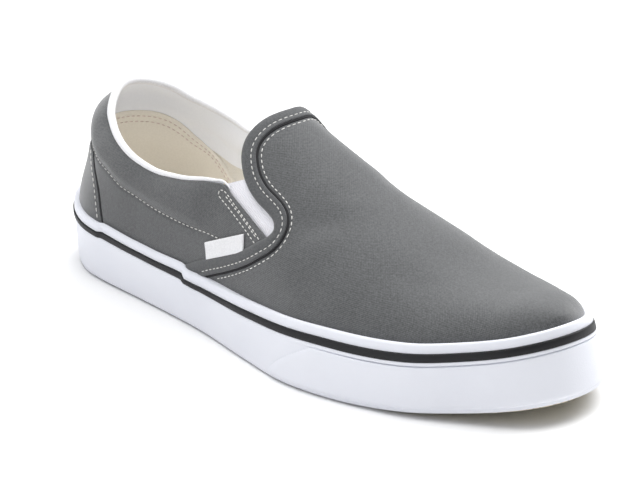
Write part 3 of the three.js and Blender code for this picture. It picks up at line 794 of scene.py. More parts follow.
@dataclass(frozen=True)
class Crease:
    """Soft trough pressed into the cloth, between two places of the side view."""

    start: tuple[float, float]
    end: tuple[float, float]
    width: float
    depth: float
    medial: bool = False
    closing: float = 1.0

    def relief(self, points: Array) -> Array:
        """Height of the trough and of the low ridges beside it, at points of the surface.

        Args:
            points: Points of the surface.

        Returns:
            Heights.
        """
        places = np.array([self.start, self.end])
        turn, climb = LAST.from_side(places[:, 0], places[:, 1], self.medial)
        a, b = LAST.upper(turn, climb, 0.0)
        t = np.clip(((points - a) @ (b - a)) / ((b - a) @ (b - a)), 0, 1)
        near = np.linalg.norm(points - (a + t[..., None] * (b - a)), axis=-1) / self.width
        fade = smooth(t, *CREASE_OPENS) * (1 - self.closing * smooth(t, *CREASE_CLOSES))
        return -self.depth * fade * (1 - 0.8 * near**2) * np.exp(-(near**2))


CREASES = [
    Crease((155, 55), (181, 60.5), 10.0, 1.5, closing=0.8),
    Crease((155, 55), (181, 60.5), 10.0, 1.2, medial=True, closing=0.8),
    Crease((158, 62), (170, 68), 6.0, 0.5),
    Crease((166, 40), (200, 36), 6.0, 0.35),
    Crease((202, 50), (232, 44), 9.0, 0.35),
    Crease((160, 63), (172, 67), 6.0, 0.45, medial=True),
    Crease((196, 48), (228, 43), 9.0, 0.35, medial=True),
]


@dataclass
class Vamp:
    """Front of the upper with its lining and the folded tape along its edge."""

    strip: EdgeStrip
    columns: int = 150
    rows: int = 150
    edge_margin: float = 2.2
    softened_rows: int = 13
    foot_fade: float = 0.12
    toe_reach: float = 26.0
    toe_blur: float = 3.5
    toe_foot: Span = (-0.5, 2.5)
    lining: float = 0.7
    lining_gap: float = 0.1
    tape_fold: float = 0.7
    tape_width: float = 6.4
    tape_height: float = 1.15
    seam_back: float = 4.35
    seam_front: float = 8.6

    def chart(self, margin: float, columns: int, rows: int) -> Array:
        """Turns and girths of a grid from the vamp's edge to the toe.

        Args:
            margin: Distance of the grid's rear border in front of the edge.
            columns: Number of columns, from the edge to the toe.
            rows: Number of rows over the ridge.

        Returns:
            Grid of turn and girth.
        """
        border = self.strip.pick(self.strip.chart, margin)
        border = border[np.argsort(border[:, 1])]
        first, last = border[0, 1], border[-1, 1]
        girth = np.linspace(first, last, rows)
        start = np.interp(girth, border[:, 1], border[:, 0])
        softening = np.hanning(self.softened_rows)
        softened = np.pad(start, self.softened_rows // 2, mode="edge")
        start = np.convolve(softened, softening / softening.sum(), mode="valid")
        way = np.linspace(0, 1, columns)[:, None]
        turn = start + (math.pi - start) * way
        foot = LAST.cloth_foot(LAST.along(turn))
        lateral = LAST.climb_at(turn, foot)
        medial = math.pi - LAST.climb_at(FULL_TURN - turn, foot)
        share = (girth - first) / (last - first)
        fade = smooth(way, 0, self.foot_fade)
        low = (lateral - first) * np.clip(1 - 2 * share, 0, 1) ** 2 * fade
        high = (medial - last) * np.clip(2 * share - 1, 0, 1) ** 2 * fade
        return np.stack(np.broadcast_arrays(turn, girth + low + high), -1)

    def surface(self, chart: Array, depth: float) -> Array:
        """Points of the vamp with its creases and its rounded toe, a depth inside its outer face.

        Args:
            chart: Turns and girths.
            depth: Distances inside the outer face.

        Returns:
            Points.
        """
        turn, girth = chart[..., 0], chart[..., 1]
        points = LAST.over(turn, girth, depth)
        outward = unit(LAST.over(turn, girth, depth - 0.5) - LAST.over(turn, girth, depth + 0.5))
        relief = sum(crease.relief(points) for crease in CREASES)
        return self.round_toe(points + outward * relief[..., None])

    @staticmethod
    def cloth_places(chart: Array) -> Array:
        """Cloth coordinates of a chart: along the shoe, and round it from the ridge.

        Args:
            chart: Turns and girths.

        Returns:
            Coordinates in millimetres.
        """
        turns = np.linspace(0.5, math.pi, 90)
        girths = np.linspace(0, math.pi, 121)
        points = LAST.over(turns[:, None], girths[None], 0.0)
        steps = np.linalg.norm(np.diff(points, axis=1), axis=-1)
        round_ = np.concatenate([np.zeros((len(turns), 1)), np.cumsum(steps, axis=1)], axis=1)
        round_ -= round_[:, [len(girths) // 2]]
        row = np.interp(chart[..., 0], turns, np.arange(len(turns)))
        column = np.interp(chart[..., 1], girths, np.arange(len(girths)))
        i = np.minimum(row.astype(int), len(turns) - 2)
        j = np.minimum(column.astype(int), len(girths) - 2)
        a, b = row - i, column - j
        near = round_[i, j] * (1 - b) + round_[i, j + 1] * b
        far = round_[i + 1, j] * (1 - b) + round_[i + 1, j + 1] * b
        return np.stack([LAST.along(chart[..., 0]), near * (1 - a) + far * a], -1)

    def cloth(self) -> bpy.types.Object:
        """Canvas of the vamp.

        Returns:
            The piece.
        """
        chart = self.chart(self.edge_margin, self.columns, self.rows)
        outer, inner = (self.surface(chart, depth) for depth in (0.0, CANVAS))
        return MeshMaker.slab("vamp_canvas", outer, inner, self.cloth_places(chart))

    def round_toe(self, points: Array) -> Array:
        """Sheet with the tip of its toe smoothed, where the ridge runs out.

        Args:
            points: Grid of points of the vamp.

        Returns:
            The grid, where each point near the tip is drawn to the mean of its surroundings.
        """
        tip = LAST.over(np.array(math.pi), np.array(RIDGE), 0.0)
        far = np.linalg.norm(points - tip, axis=-1)
        spacing = [np.linalg.norm(np.gradient(points, axis=axis), axis=-1) for axis in (0, 1)]
        near = far < self.toe_reach
        around = far < self.toe_reach + 2 * self.toe_blur
        moved, sources = points[near], points[around]
        area = (spacing[0] * spacing[1])[around]
        apart = ((moved[:, None] - sources[None]) ** 2).sum(-1)
        weight = np.exp(-apart / (2 * self.toe_blur**2)) * area
        mean = (weight[..., None] * sources[None]).sum(1) / weight.sum(1, keepdims=True)
        above = moved[:, 2] - LAST.foxing(moved[:, 0])
        share = (1 - smooth(far[near], self.toe_reach / 2, self.toe_reach)) * smooth(above, *self.toe_foot)
        rounded = points.copy()
        rounded[near] = moved + (mean - moved) * share[:, None]
        return rounded

    def inside(self) -> bpy.types.Object:
        """Lining of the vamp.

        Returns:
            The piece.
        """
        chart = self.chart(self.edge_margin + 1.0, self.columns // 2, self.rows // 2)
        depth = CANVAS + self.lining_gap
        outer, inner = self.surface(chart, depth), self.surface(chart, depth + self.lining)
        return MeshMaker.slab("vamp_lining", outer, inner)

    def tape(self) -> bpy.types.Object:
        """Folded tape over the vamp's edge.

        Returns:
            The piece.
        """
        top, width = self.tape_height, self.tape_width
        under, thick = -CANVAS - self.lining - 0.15, self.tape_fold
        profile = [
            (width, 0.03),
            (width, top * 0.55),
            (width - 0.12, top * 0.82),
            (width - 0.4, top * 0.97),
            (width - 0.9, top),
            (self.seam_back + 0.7, top - 0.05),
            (self.seam_back, top - 0.3),
            (self.seam_back - 0.7, top - 0.02),
            (2.4, top + 0.1),
            (1.1, top + 0.08),
            (0.3, top - 0.15),
            (-0.3, top - 0.6),
            (-0.6, -0.2),
            (-0.6, under + 0.7),
            (-0.3, under - 0.2),
            (0.4, under - thick + 0.1),
            (1.4, under - thick),
            (5.0, under - thick),
            (5.2, under - 0.3),
            (5.0, under),
            (1.2, under),
            (0.7, -0.7),
            (0.9, 0.02),
        ]
        return MeshMaker.loft("vamp_tape", self.strip.sections(profile), sharp=60)

    def step_shadow(self) -> bpy.types.Object:
        """Dark strip painted as the shadow in the step between the tape and the vamp.

        Returns:
            The piece.
        """
        width = self.tape_width
        profile = [
            (width + 0.02, 0.02),
            (width + 0.85, 0.02),
            (width + 0.95, 0.2),
            (width + 0.75, 0.42),
            (width + 0.3, 0.5),
            (width + 0.02, 0.45),
        ]
        return MeshMaker.loft("tape_shadow_cord", self.strip.sections(profile), sharp=80)

    def seams(self) -> list[StitchRow]:
        """Stitch rows on the tape and beside it.

        Returns:
            The rows.
        """
        made = []
        for distance, height in ((self.seam_back, self.tape_height - 0.28), (self.seam_front, 0.0)):
            line = self.strip.line(distance, height)
            shown = line[:, 2] > LAST.foxing(line[:, 0]) + 0.6
            normals = unit(self.strip.pick(self.strip.normals, distance))
            made.append(StitchRow(line[shown], normals[shown]))
        return made

    def build(self, dresser: "Dresser") -> None:
        """Makes and dresses the vamp, its lining and its tape.

        Args:
            dresser: Gives each piece its finish.
        """
        dresser.dress(self.cloth(), CANVAS_GREY, ("upper",))
        dresser.dress(self.inside(), LINING_BEIGE)
        dresser.dress(self.tape(), TAPE_GREY, ("vamp_binding",))
        # Dark strip painted as the shadow in front of the tape's edge
        dresser.dress(self.step_shadow(), RUBBER_SHADOW)


# Upper border of the heel's inner patch: distance from the back of the heel, and height
PATCH_AT = [0, 10, 17, 22, 28, 35, 43, 49, 54, 58]
PATCH_TOP = [59, 57.0, 53.9, 50.8, 46.9, 43.5, 39.5, 34.5, 29, 22]

# Lines of the side view in millimetres, as distances from the back of the heel and heights
STAY_FRONT = [(27.4, 51.6), (31.5, 46.2), (36.4, 40), (40.2, 32.4), (43.2, 24.8), (43.8, 22)]
GORE_REAR = [(110.5, 60.5), (118, 57.5), (128, 53), (138, 48.8), (148, 44.5), (153, 43.0)]
GORE_FRONT = [(131.5, 70.6), (136, 66.6), (143, 63.8), (150, 61.2), (156, 57.5), (158.5, 52), (156, 46)]
LOOP_MIDDLE = [(119.2, 58.6), (124.6, 56.3), (130.6, 53.8), (136.6, 51.1), (143.2, 48.2)]
LOOP_UPPER = [(147.5, 46.4), (142.8, 49.2), (136.1, 52.0), (130.2, 54.7), (124.6, 57.2), (119.5, 59.6)]
LOOP_END = [(116.6, 60.3), (114.9, 59.6), (115.2, 58.0), (117.2, 56.9)]
LOOP_LOWER = [(121.4, 55.3), (126.3, 53.2), (131.9, 50.9), (137.9, 48.3), (144.7, 45.3)]
LABEL_CORNER = (114.6, 32.6)
LABEL_ALONG = (23.3, 9.8)
LABEL_UP = (-1.3, 5.2)


@dataclass
class Quarters:
    """Rear of the upper: canvas quarters with a padded collar, piping, linings and heel stay."""

    strip: EdgeStrip
    front: float = 151.0
    swell: float = 1.3
    swell_rise: float = 5.0
    swell_thins: float = 0.55
    pad_end: float = 100.0
    pad_fade: float = 14.0
    seam_dip: float = 0.45
    seam_width: float = 1.1
    seam_front: float = 127.0
    seam_fades: Span = (118, 128)
    edge_roll: float = 0.7
    edge_rolls: Span = (0.85, 1.0)
    under_vamp: float = 1.6
    under_from: Span = (1.0, 8.0)
    bead_width: float = 1.5
    bead_height: float = 1.3125
    bead_crown: float = 0.3125
    bead_rise: float = 0.75
    bead_front: float = 118.5
    bead_taper: int = 20
    bead_full: float = 1.2
    bead_thin: float = 0.62
    bead_thins: Span = (10, 112)
    lining_pad: float = 1.9
    lining_thins: Span = (104, 116)
    lining_drop: float = 1.5
    lining_belly: float = 6.0
    lining_climbs: Span = (98, 112)
    past_tape: float = 3.0
    past_from: Span = (-11.0, -3.0)
    patch_front: float = 57.0
    patch_thickness: float = 0.85
    patch_drops: tuple[float, ...] = (2.6, 5.4)
    close_stitch: tuple[float, float] = (2.4, 0.7)
    stay_height: float = 0.9
    stay_top: float = 51.4
    label_fold: float = 0.65

    top_front = TableCurve(list(FRONT_POINTS[:, 0]), list(FRONT_POINTS[:, 1]))
    patch_top = TableCurve(PATCH_AT, PATCH_TOP)

    def top_line(self, x: Array) -> Array:
        """Top edge of the quarters: the collar, then the slanted front."""
        return np.where(x < FRONT_POINTS[0, 0], LAST.collar(x), self.top_front(x))

    def past_edge(self, x: Array, z: Array) -> Array:
        """Distance in front of the vamp's edge below the foot of the gore."""
        edge = EDGE_POINTS[:8]
        return x - np.interp(z, edge[:, 1], edge[:, 0])

    def relief(self, turn: Array, z: Array, x: Array, top: Array) -> Array:
        """Depth of the canvas: padded above the seam, pressed in along it and sunk under the vamp.

        Args:
            turn: Turns in plan.
            z: Heights.
            x: Distances from the back of the heel.
            top: Heights of the top edge.

        Returns:
            Depths inside the last's face, below 0 where the canvas swells past it.
        """
        plan_x = LAST.along(turn)
        seam = LAST.collar_seam(plan_x)
        above = z - seam
        share = np.clip(above / np.maximum(top - seam, 1.0), 0, 1)
        padded = 1 - smooth(plan_x, self.pad_end, self.pad_end + self.pad_fade)
        puffed = self.swell * padded * smooth(above, 0, self.swell_rise) * (1 - self.swell_thins * share**2)
        dip = self.seam_dip * bump(above, 0, self.seam_width) * (1 - smooth(plan_x, *self.seam_fades))
        rolled = self.edge_roll * smooth(share, *self.edge_rolls) * padded
        under = self.under_vamp * smooth(self.past_edge(x, z), *self.under_from)
        return dip + rolled + under - puffed

    def turns(self, front: float, count: int) -> Array:
        """Turns from the medial front round the heel to the lateral front."""
        end = float(LAST.turn(front))
        return np.mod(np.linspace(-end, end, count), FULL_TURN)

    def tops(self, turn: Array) -> Array:
        """Height of the quarters' top edge at each turn."""
        return LAST.upper(turn, LAST.climb_to(turn, self.top_line), 0.0)[:, 2]

    def at(self, turn: Array, z: Array, depth: Array) -> Array:
        """Points of the upper at heights and depths.

        Args:
            turn: Turns in plan.
            z: Heights.
            depth: Distances inside the outer face.

        Returns:
            Points.
        """
        point = LAST.upper(turn, LAST.climb_at(turn, z), depth)
        point[..., 2] = z
        return point

    def canvas(self) -> bpy.types.Object:
        """Canvas of both quarters in one piece round the heel.

        Returns:
            The piece.
        """
        turn = self.turns(self.front, 261)
        top = self.tops(turn)
        x = LAST.along(turn)
        foot = LAST.cloth_foot(x)
        seam = np.minimum(LAST.collar_seam(x), top - 2.5)
        side = 1 - (1 - np.linspace(0, 1, 18)) ** 1.7
        pad = np.linspace(0, 1, 26)[1:]
        pad = (pad - 0.12 * np.sin(FULL_TURN * pad) / FULL_TURN) ** 1.15
        lower = foot[:, None] + (seam - foot)[:, None] * side
        z = np.concatenate([lower, seam[:, None] + (top - seam)[:, None] * pad], 1)
        turns = np.broadcast_to(turn[:, None], z.shape)
        climb = LAST.climb_at(turns, z)
        flat = LAST.upper(turns, climb, 0.0)
        depth = self.relief(turns, z, flat[..., 0], top[:, None])
        outer = LAST.upper(turns, climb, depth)
        inner = LAST.upper(turns, climb, np.maximum(depth, 0) + CANVAS)
        outer[..., 2] = inner[..., 2] = flat[..., 2]
        return MeshMaker.slab("quarter_canvas", outer, inner)

    def piping(self) -> bpy.types.Object:
        """White folded bead along the collar's edge, thinner towards the gores.

        Returns:
            The piece.
        """
        turn = self.turns(self.bead_front, 260)
        depth = WALL / 2 + 0.4
        path = evenly(LAST.upper(turn, LAST.climb_to(turn, self.top_line, depth), depth), len(turn))
        way = unit(np.gradient(path, axis=0))
        side = unit(np.cross(way, np.array([0, 0, 1.0])))
        up = np.cross(side, way)
        centre = (path + up * self.bead_rise)[:, None]
        around = np.linspace(0, FULL_TURN, 17)[:-1]
        wide = np.cos(around) * self.bead_width
        tall = np.sin(around) * (self.bead_height + self.bead_crown * np.clip(np.sin(around), 0, 1))
        section = side[:, None] * wide[:, None] + up[:, None] * tall[:, None]
        full = 1 - smooth(path[:, 0], *self.bead_thins)
        size = self.bead_thin + (self.bead_full - self.bead_thin) * full
        size[: self.bead_taper] *= np.sqrt(np.linspace(0.05, 1, self.bead_taper))
        size[-self.bead_taper :] = size[: self.bead_taper][::-1]
        return MeshMaker.loft("collar_bead", centre + section * size[:, None, None], sharp=80)

    def seam_row(self) -> StitchRow:
        """Stitch row along the lower seam of the padded collar.

        Returns:
            The row.
        """
        turn = self.turns(self.seam_front, 400)
        climb = LAST.climb_at(turn, LAST.collar_seam(LAST.along(turn)))
        line = LAST.upper(turn, climb, self.seam_dip - 0.1)
        kept = self.past_edge(line[:, 0], line[:, 2]) < -0.5
        return StitchRow(line[kept], LAST.outward(turn, climb)[kept])

    def lining_depth(self, turn: Array, z: Array, top: Array) -> Array:
        """Depth of the linings' inner face: padded along the collar, flat below it.

        Args:
            turn: Turns in plan.
            z: Heights.
            top: Heights of the collar's edge.

        Returns:
            Depths.
        """
        x = LAST.along(turn)
        low = LAST.collar_seam(x)
        share = np.clip((z - low) / np.maximum(top - low, 1.0), 0, 1)
        padded = 1 - smooth(x, *self.lining_thins)
        crown = np.sin(math.pi * np.clip(share * 0.92 + 0.04, 0, 1)) ** 0.7
        return WALL + 0.3 + self.lining_pad * padded * crown

    def ring(
        self, front: float, columns: int, low: Callable, high: Callable, rows: int
    ) -> tuple[Array, Array, Array]:
        """Grid round the heel between two heights.

        Args:
            front: Distance of its front ends from the back of the heel.
            columns: Number of columns.
            low: Lower height at a distance in plan.
            high: Upper height at a distance in plan and the collar's height there.
            rows: Number of rows.

        Returns:
            Turns, heights and collar heights of the grid.
        """
        turn = self.turns(front, columns)
        top, x = self.tops(turn), LAST.along(turn)
        start, end = low(x), high(x, top)
        z = start[:, None] + (end - start)[:, None] * np.linspace(0, 1, rows)
        return np.broadcast_to(turn[:, None], z.shape), z, np.broadcast_to(top[:, None], z.shape)

    def lining_foot(self, x: Array) -> Array:
        """Lower border of the white collar lining, lowest under the ankle."""
        return LAST.collar_seam(x) - self.lining_drop - self.lining_belly * bump(x, 42, 55)

    def lining_head(self, x: Array, top: Array) -> Array:
        """Upper border of the beige lining: behind the collar's lining, and higher beside the gore."""
        return np.minimum(self.lining_foot(x) + 2.0 + 40 * smooth(x, *self.lining_climbs), top - 1.0)

    def collar_lining(self) -> bpy.types.Object:
        """White padded lining from the piping down to the collar's seam.

        Returns:
            The piece.
        """
        turn, z, top = self.ring(114.0, 221, self.lining_foot, lambda x, top: top + 0.4, 26)
        inner = self.at(turn, z, self.lining_depth(turn, z, top))
        return MeshMaker.slab("collar_lining", self.at(turn, z, WALL - 0.6), inner)

    def quarter_lining(self) -> bpy.types.Object:
        """Beige canvas lining below the collar's lining, carried over the tape's inner fold.

        Returns:
            The piece.
        """
        turn, z, _ = self.ring(150.0, 181, lambda x: LAST.bed(x) + 1.0, self.lining_head, 14)
        past = self.past_edge(self.at(turn, z, 0.0)[..., 0], z)
        sunk = self.past_tape * smooth(past, *self.past_from) + 0.05
        outer, inner = self.at(turn, z, CANVAS + sunk), self.at(turn, z, WALL + sunk)
        return MeshMaker.slab("quarter_lining", outer, inner)

    def heel_patch(self) -> bpy.types.Object:
        """Smooth inner patch round the heel.

        Returns:
            The piece.
        """
        turn, z, top = self.ring(
            self.patch_front, 161, lambda x: LAST.bed(x) + 2.5, lambda x, _: self.patch_top(x), 30
        )
        rolled = 0.5 * smooth(np.linspace(0, 1, z.shape[1]), 0.96, 1.0)
        depth = self.lining_depth(turn, z, top) + self.patch_thickness - rolled
        return MeshMaker.slab("heel_patch", self.at(turn, z, WALL - 0.3), self.at(turn, z, depth))

    def patch_seams(self) -> list[StitchRow]:
        """Two stitch rows along the patch's border.

        Returns:
            The rows.
        """
        rows = []
        for drop in self.patch_drops:
            turn = self.turns(self.patch_front - 1.0 - drop * 0.5, 401)
            x = LAST.along(turn)
            border = self.patch_top(np.clip(x + drop * smooth(x, 18, 40) * 0.8, 0, PATCH_AT[-1]))
            z = border - drop * (1 - smooth(x, 18, 44))
            depth = self.lining_depth(turn, z, self.tops(turn)) + self.patch_thickness
            normal = unit(self.at(turn, z, depth + 1) - self.at(turn, z, depth - 1))
            kept = z > LAST.bed(x) + 5
            line = self.at(turn, z, depth)[kept]
            rows.append(StitchRow(line, normal[kept], *self.close_stitch, thread=0.45))
        return rows

    def heel_stay(self) -> bpy.types.Object:
        """Second layer of canvas round the heel, under the collar's seam.

        Returns:
            The piece.
        """
        front = spline(STAY_FRONT, 40)[::-1]
        turn_front, _ = LAST.from_side(*front.T)
        medial_front, _ = LAST.from_side(*front.T, medial=True)
        z_at = np.linspace(float(LAST.cloth_foot(20.0)), self.stay_top, 26)
        lateral = np.interp(z_at, front[:, 1], turn_front)
        medial = np.interp(z_at, front[:, 1], medial_front - FULL_TURN)
        way = np.linspace(0, 1, 141)[:, None]
        turn = np.mod(medial + (lateral - medial) * way, FULL_TURN)
        z = z_at + 0.8 * (1 - np.abs(2 * way - 1)) * smooth(z_at, 40, 51)
        edge = np.minimum(way, 1 - way) * 40
        rolled = 0.35 * (1 - smooth(edge, 0.0, 0.8) + smooth(z_at, self.stay_top - 1.2, self.stay_top))
        outer, inner = self.at(turn, z, rolled - self.stay_height), self.at(turn, z, 0.02)
        return MeshMaker.slab("heel_stay_canvas", outer, inner)

    def stay_seams(self) -> list[StitchRow]:
        """Stitch rows behind the stay's front edges.

        Returns:
            The rows.
        """
        rows = []
        for side in Side:
            line = spline(STAY_FRONT, 40) - (2.0, 0.0)
            turn, climb = LAST.from_side(*line.T, side is Side.MEDIAL)
            points = LAST.upper(turn, climb, -self.stay_height)
            kept = points[:, 2] > LAST.foxing(points[:, 0]) + 0.5
            rows.append(StitchRow(points[kept], LAST.outward(turn, climb)[kept]))
        return rows

    def stay_edge_shadow(self, side: Side) -> bpy.types.Object:
        """Painted shadow along one front edge of the stay, as a thin raised dark line.

        Args:
            side: Side of the shoe.

        Returns:
            The piece.
        """
        line = spline(STAY_FRONT, 40) + (0.45, 0.0)
        turn, climb = LAST.from_side(*line.T, side is Side.MEDIAL)
        points = LAST.upper(turn, climb, 0.0)
        normal = LAST.outward(turn, climb)
        across = unit(np.cross(unit(np.gradient(points, axis=0)), normal)) * 0.75
        profile = [(-0.5, 0.0), (-0.5, 0.6), (-0.25, 1.0), (0.25, 1.0), (0.5, 0.6), (0.5, 0.0)]
        sections = np.stack([points + across * a + normal * b * 0.22 for a, b in profile], 1)
        return MeshMaker.loft(f"stay_edge_shadow_{side.value}", sections, sharp=80)

    def front_loop(self) -> list[StitchRow]:
        """Stitch loops that hold the gore along the quarter's slanted front.

        Returns:
            The rows.
        """
        lines = [spline([*LOOP_UPPER, *LOOP_END, *LOOP_LOWER], 120), spline(LOOP_MIDDLE, 60)]
        rows = []
        for side in Side:
            for line in lines:
                turn, climb = LAST.from_side(*line.T, side is Side.MEDIAL)
                points = LAST.upper(turn, climb, 0.0)
                kept = self.past_edge(points[:, 0], points[:, 2]) < -0.3
                rows.append(StitchRow(points[kept], LAST.outward(turn, climb)[kept], *self.close_stitch))
        return rows

    def gore(self, side: Side) -> bpy.types.Object:
        """Elastic gore between the quarter's front and the vamp's edge.

        Args:
            side: Side of the shoe.

        Returns:
            The piece.
        """
        rear, front = spline(GORE_REAR, 60), spline(GORE_FRONT, 60)
        share = np.linspace(0, 1, 40)
        grid = rear[None] + (front - rear)[None] * share[:, None, None]
        turn, climb = LAST.from_side(grid[..., 0], grid[..., 1], side is Side.MEDIAL)
        hem = 0.35 * (1 - smooth(np.linspace(0, 1, 60), 0.0, 0.05))
        outer = LAST.upper(turn, climb, CANVAS + 0.5 - hem)
        inner = LAST.upper(turn, climb, CANVAS + 1.5 + hem)
        across = np.linalg.norm(front - rear, axis=1).mean()
        places = np.meshgrid(across * share, np.linspace(0, way_along(front)[-1], 60), indexing="ij")
        return MeshMaker.slab(f"gore_elastic_{side.value}", outer, inner, np.stack(places, -1))

    def label(self) -> bpy.types.Object:
        """Blank folded label, sewn in under the tape on the lateral side.

        Returns:
            The piece.
        """
        u, v = np.meshgrid(np.linspace(0, 1, 30), np.linspace(-0.3, 1, 16), indexing="ij")
        ways = zip(LABEL_CORNER, LABEL_ALONG, LABEL_UP)
        turn, climb = LAST.from_side(*(corner + u * along + v * up for corner, along, up in ways))
        lift = 0.35 + 0.5 * np.clip(v, 0, 1) ** 2 + 0.12 * np.sin(math.pi * u)
        rolled = 0.28 * smooth(v, 0.9, 1.0)
        outer = LAST.upper(turn, climb, rolled - lift - self.label_fold)
        return MeshMaker.slab("blank_label", outer, LAST.upper(turn, climb, rolled * 0.5 - lift))

    def build(self, dresser: "Dresser") -> None:
        """Makes and dresses the quarters, their linings, the gores and the label.

        Args:
            dresser: Gives each piece its finish.
        """
        dresser.dress(self.canvas(), CANVAS_GREY, ("upper",))
        dresser.dress(self.piping(), BEAD_WHITE, ("collar_piping",))
        lining = dresser.dress(self.collar_lining(), LINING_WHITE)
        dresser.dress(self.quarter_lining(), LINING_BEIGE)
        dresser.dress(self.heel_patch(), PATCH_BEIGE)
        dresser.dress(self.heel_stay(), CANVAS_GREY, ("heel_stay",))
        # Thin dark lines painted as the shadow at the stay's front edges
        for side in Side:
            dresser.dress(self.stay_edge_shadow(side), RUBBER_SHADOW)
        for side in Side:
            dresser.dress(self.gore(side), ELASTIC, (f"gore_{side.value}",))
        dresser.dress(self.label(), LABEL_WHITE, ("side_label",))

    def seams(self) -> list[StitchRow]:
        """White stitch rows of the quarters."""
        return [self.seam_row(), *self.stay_seams(), *self.front_loop()]


# Height of the stripe, at distances from the back of the heel
STRIPE_AT = [0, 60, 150, 230, 290]
STRIPE_TALL = [2.3, 2.4, 2.7, 3.2, 3.3]

# Profiles of the rubber, as heights from a border of its layers and depths, in millimetres
FOOT_ROUND = [(0.0, 1.3), (0.15, 0.65), (0.5, 0.22), (1.1, 0.0)]
STRIPE_GROOVE = [(-0.35, 0.0), (-0.08, 0.12), (0.02, 0.8)]
BAND_FOOT = [(-0.02, 0.9), (0.08, 0.5), (0.35, 0.34)]
BAND_TOP = [(-0.75, 0.38), (-0.3, 0.58), (-0.05, 0.95), (0.02, 1.4)]
STRIPE_FACE = [(0.04, 0.85), (0.02, 0.12), (0.12, -0.06), (0.4, -0.15)]


@dataclass
class Sole:
    """Rubber round the sole: foxing with its layered top, stripe, toe bumper, and the insole in it."""

    turns: int = 560
    top_band: float = 3.8
    lip: float = 1.6
    wall: float = 2.6
    ledge: float = 6.0
    stay_swell: float = 0.9
    tape_swell: float = 1.3
    tape_dip: float = 0.9
    stay_dip: float = 0.6
    stay_front: Span = (41.5, 45.0)
    tape_foot: Span = (99.5, 103.5)
    tape_front: Span = (110, 114)
    vamp_thins: Span = (125, 200)
    swells: Span = (0.55, 0.85)
    steps: Span = (0.6, 0.9)
    bumper_foot: float = 0.07
    bumper_slant: float = 22.0
    bumper_steps: int = 240
    insole_height: float = 3.4
    heel_cup: float = 2.6
    arch_rise: float = 2.4
    heel_rise: float = 2.0
    edge_roll: float = 0.9

    stripe_height = TableCurve(STRIPE_AT, STRIPE_TALL)

    def layers(self, turn: Array) -> Array:
        """Extra thickness of what lies under the foxing: the heel stay, the tape's foot and the vamp.

        Args:
            turn: Turns in plan.

        Returns:
            Thicknesses.
        """
        x = LAST.along(turn)
        stay = self.stay_swell * (1 - smooth(x, *self.stay_front))
        tape = self.tape_swell * smooth(x, *self.tape_foot) * (1 - 0.3 * smooth(x, *self.tape_front))
        return stay + tape * (1 - smooth(x, *self.vamp_thins))

    def dips(self, turn: Array) -> Array:
        """How far the rubber's upper line lies low past the tape's foot, and high beside it and the stay.

        Args:
            turn: Turns in plan.

        Returns:
            Distances down.
        """
        x = LAST.along(turn)
        tape = self.tape_dip * smooth(x, *self.tape_foot) * (1 - smooth(x, 112, 150))
        before_tape = self.stay_dip * smooth(x, 80, 99) * (1 - smooth(x, 99, 103))
        return tape - before_tape - self.stay_dip * smooth(x, *self.stay_front) * (1 - smooth(x, 47, 66))

    def outer(self, turn: Array, share: Array, depth: Array) -> Array:
        """Point of the foxing's face with the layers under it showing near its top.

        Args:
            turn: Turns in plan.
            share: Shares of the wall's height.
            depth: Distances inside the outer face.

        Returns:
            Points.
        """
        point = LAST.wall(turn, share, depth - self.layers(turn) * smooth(share, *self.swells))
        point[..., 2] -= self.dips(turn) * smooth(share, *self.steps)
        return point

    def around(self) -> Array:
        """Turns of the sections round the sole."""
        return np.arange(self.turns) * FULL_TURN / self.turns

    def stations(self, turn: Array) -> dict[str, Array]:
        """Shares of the wall's height at the borders of its layers.

        Args:
            turn: Turns in plan.

        Returns:
            Shares by the border's name.
        """
        stripe_foot = self.top_band + self.stripe_height(LAST.along(turn))
        down = {"band": self.top_band, "foot": stripe_foot, "lip": stripe_foot + self.lip, "top": 0 * turn}
        return {name: LAST.share_below(turn, distance) for name, distance in down.items()}

    def foxing(self) -> bpy.types.Object:
        """White rubber wall with its top band, the groove of the stripe and the ledge under it.

        Returns:
            The piece.
        """
        turn = self.around()
        x = LAST.along(turn)
        at, tall, recess = self.stations(turn), LAST.wall_height(x), LAST.recess(turn)
        foot = FOOT_ROUND[-1][0] / tall
        rows = [LAST.wall(turn, 0 * turn, self.wall + self.ledge + recess)]
        rows += [LAST.wall(turn, up / tall, depth + recess) for up, depth in FOOT_ROUND]
        face = at["lip"] - foot
        rows += [self.outer(turn, foot + face * share, recess) for share in np.linspace(0.1, 0.9, 9)]
        rows.append(self.outer(turn, at["lip"] - 0.1 / tall, recess))
        rows.append(self.outer(turn, at["lip"] + 0.25 / tall, 0 * turn))
        rows += [self.outer(turn, at["foot"] + up / tall, depth) for up, depth in STRIPE_GROOVE]
        rows += [self.outer(turn, at["band"] + up / tall, depth) for up, depth in BAND_FOOT]
        rows.append(self.outer(turn, (at["band"] + at["top"]) / 2, 0.3))
        rows += [self.outer(turn, at["top"] + up / tall, depth) for up, depth in BAND_TOP]
        for below in (0.6, self.ledge):
            inner = LAST.upper(turn, LAST.climb_at(turn, LAST.foxing(x) - below), 0.15)
            inner[:, 2] = LAST.foxing(x) - below
            rows.append(inner)
        rows.append(rows[0].copy())
        rows[-1][:, 2] = LAST.floor(x) + self.ledge
        return MeshMaker.loft("foxing_wall", np.stack(rows, 1), sharp=38, ring=True)

    def stripe(self) -> bpy.types.Object:
        """Dark rubber strip in the foxing's groove.

        Returns:
            The piece.
        """
        turn = self.around()
        at, tall = self.stations(turn), LAST.wall_height(LAST.along(turn))
        low = [self.outer(turn, at["foot"] + edge / tall, depth) for edge, depth in STRIPE_FACE]
        high = [self.outer(turn, at["band"] - edge / tall, depth) for edge, depth in reversed(STRIPE_FACE)]
        return MeshMaker.loft("side_stripe", np.stack([*low, *high], 1), sharp=60, ring=True)

